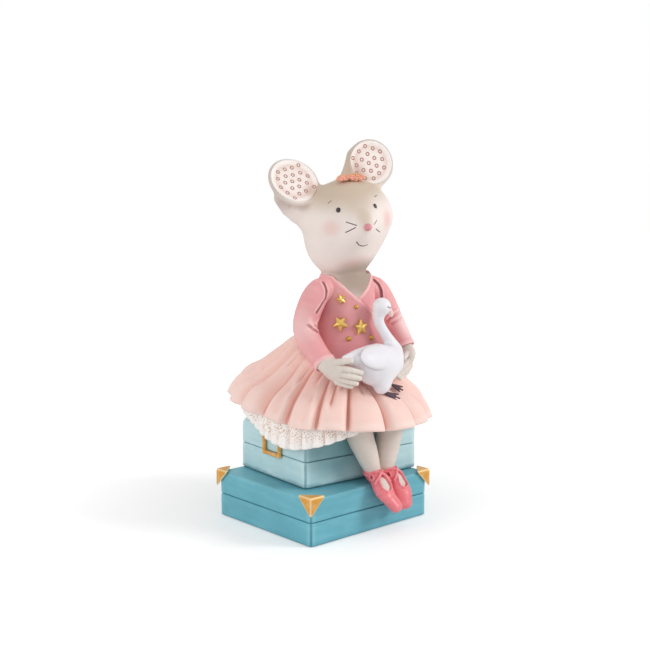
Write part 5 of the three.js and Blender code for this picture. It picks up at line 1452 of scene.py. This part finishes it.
for side, leg in legForm.items():
    legPiece(side, leg)
    slipperPiece(side, leg)
print("stage: legs and slippers")


# Stars and studs on the bodice
trimForm = {
    "stars": [((-11.8, -8.7, 58.4), 2.55, 18), ((-13.0, -9.5, 47.5), 3.85, 180), ((-4.6, -14.3, 45.6), 3.75, 4)],
    "studs": [((-5.2, -11.5, 54.7), 1.05), ((-9.7, -11.4, 40.6), 1.25), ((1.9, -14.0, 40.4), 1.3)],
    "thickness": 1.25, "waist": 0.47,
}


def onBodice(at):
    n = np.array([at[0] / torsoForm["wide"][4] ** 2, at[1] / torsoForm["deep"][4] ** 2, 0.0])
    n /= np.linalg.norm(n)
    side = np.cross((0, 0, 1), n)
    return np.stack([side, np.cross(n, side), n], axis=1)


def starPiece(index, at, radius, tilt):
    outline = []
    for i in range(10):
        reach = radius if i % 2 == 0 else radius * trimForm["waist"]
        angle = math.pi / 2 + i * math.pi / 5 + math.radians(tilt)
        outline.append((reach * math.cos(angle), reach * math.sin(angle)))
    layers = [(1.0, -1.3), (1.0, 0.3), (0.9, 0.5)]
    points = [(x * s, y * s, h) for s, h in layers for x, y in outline]
    points += [(0, 0, trimForm["thickness"]), (0, 0, -1.3)]
    faces = []
    for i in range(10):
        j = (i + 1) % 10
        faces += [(i, j, 10 + j, 10 + i), (10 + i, 10 + j, 20 + j, 20 + i), (20 + i, 20 + j, 30), (j, i, 31)]
    placed = np.array(points) @ onBodice(at).T + np.array(at)
    return newPiece(f"gilt_star_{index}", placed, faces, "starGilt", [f"star_{index}"], flat=True)


def studPiece(index, at, radius):
    g = clay(np.array(at) - 2.4, np.array(at) + 2.4, claySteps["stud"])
    field = oval(g, at, (radius, radius, radius))
    return clayPiece(f"gilt_stud_{index}", g, field, "starGilt", [f"stud_{index}"])


for i, (at, radius, tilt) in enumerate(trimForm["stars"], 1):
    starPiece(i, at, radius, tilt)
for i, (at, radius) in enumerate(trimForm["studs"], 1):
    studPiece(i, at, radius)
print("stage: stars and studs")

# Camera, lamps, floor
view = {"azimuth": -41.933, "elevation": 7.175, "distance": 491.65, "focal": 1053.36, "across": 0.97, "height": 90.86}
a, e = math.radians(view["azimuth"]), math.radians(view["elevation"])
back = Vector((math.sin(a) * math.cos(e), -math.cos(a) * math.cos(e), math.sin(e)))
right = Vector((math.cos(a), math.sin(a), 0))
target = Vector((caseCentre.x, caseCentre.y, 0)) + (right * view["across"] + Vector((0, 0, view["height"]))) * mm
camera = bpy.data.objects.new("camera", bpy.data.cameras.new("camera"))
scene.collection.objects.link(camera)
camera.location = target + back * view["distance"] * mm
camera.rotation_euler = back.to_track_quat("Z", "Y").to_euler()
camera.data.sensor_width = 36.0
camera.data.lens = view["focal"] / 650 * 36.0
camera.data.clip_start = 0.01
scene.camera = camera


def lamp(name, at, size, power, aim=(0, 0, 0.09)):
    data = bpy.data.lights.new(name, "AREA")
    data.shape = "DISK"
    data.size = size
    data.energy = power
    obj = bpy.data.objects.new(name, data)
    scene.collection.objects.link(obj)
    obj.location = at
    obj.rotation_euler = (Vector(at) - Vector(aim)).to_track_quat("Z", "Y").to_euler()
    return obj


studio = {"key": 4.7, "fill": 2.3, "sky": 0.64, "floorPaint": 0.86, "floorGlow": 0.26, "farGlow": 0.6}
lamp("keyLamp", tuple(right * 0.95 + back * 0.2 + Vector((0, 0, 0.55))), 0.4, studio["key"])
lamp("fillLamp", tuple(right * -0.75 + back * 0.5 + Vector((0, 0, 0.35))), 0.7, studio["fill"])


def rayWire(tree, name):
    return fromNode(tree, "ShaderNodeLightPath", output=name)


world = bpy.data.worlds.new("studio")
world.use_nodes = True
scene.world = world
backdrop = world.node_tree.nodes["Background"]
backdrop.inputs["Color"].default_value = (1, 1, 1, 1)
seen = rayWire(world.node_tree, "Is Camera Ray") + rayWire(world.node_tree, "Is Glossy Ray")
seen = (seen + rayWire(world.node_tree, "Is Transmission Ray")).held()
(seen * (1.0 - studio["sky"]) + studio["sky"]).into(backdrop.inputs["Strength"])


def floorMaterial():
    material = bpy.data.materials.new("studioFloor")
    material.use_nodes = True
    tree = material.node_tree
    tree.nodes.clear()
    towards = rayWire(tree, "Is Camera Ray")
    away = objectPlace(tree).vector("LENGTH")
    glow = towards * away.eased(0.06, 0.24, studio["floorGlow"], studio["farGlow"])  # white away from the suitcases
    paint = fromNode(tree, "ShaderNodeBsdfDiffuse", {"Color": (*[studio["floorPaint"]] * 3, 1)})
    light = fromNode(tree, "ShaderNodeEmission", {"Strength": glow})
    lit = fromNode(tree, "ShaderNodeAddShader", {0: paint, 1: light})
    below = towards * fromNode(tree, "ShaderNodeNewGeometry", output="Backfacing")  # seen through from below
    clear = fromNode(tree, "ShaderNodeBsdfTransparent")
    shown = fromNode(tree, "ShaderNodeMixShader", {0: below, 1: lit, 2: clear})
    addNode(tree, "ShaderNodeOutputMaterial", {0: shown})
    return material


floorHalf = 3.0
mesh = bpy.data.meshes.new("floor")
corners = [(x * floorHalf, y * floorHalf, -0.0002) for x, y in ((-1, -1), (1, -1), (1, 1), (-1, 1))]
mesh.from_pydata(corners, [], [(0, 1, 2, 3)])
floor = bpy.data.objects.new("floor", mesh)
mesh.materials.append(floorMaterial())
scene.collection.objects.link(floor)
scene.view_settings.view_transform = "Standard"
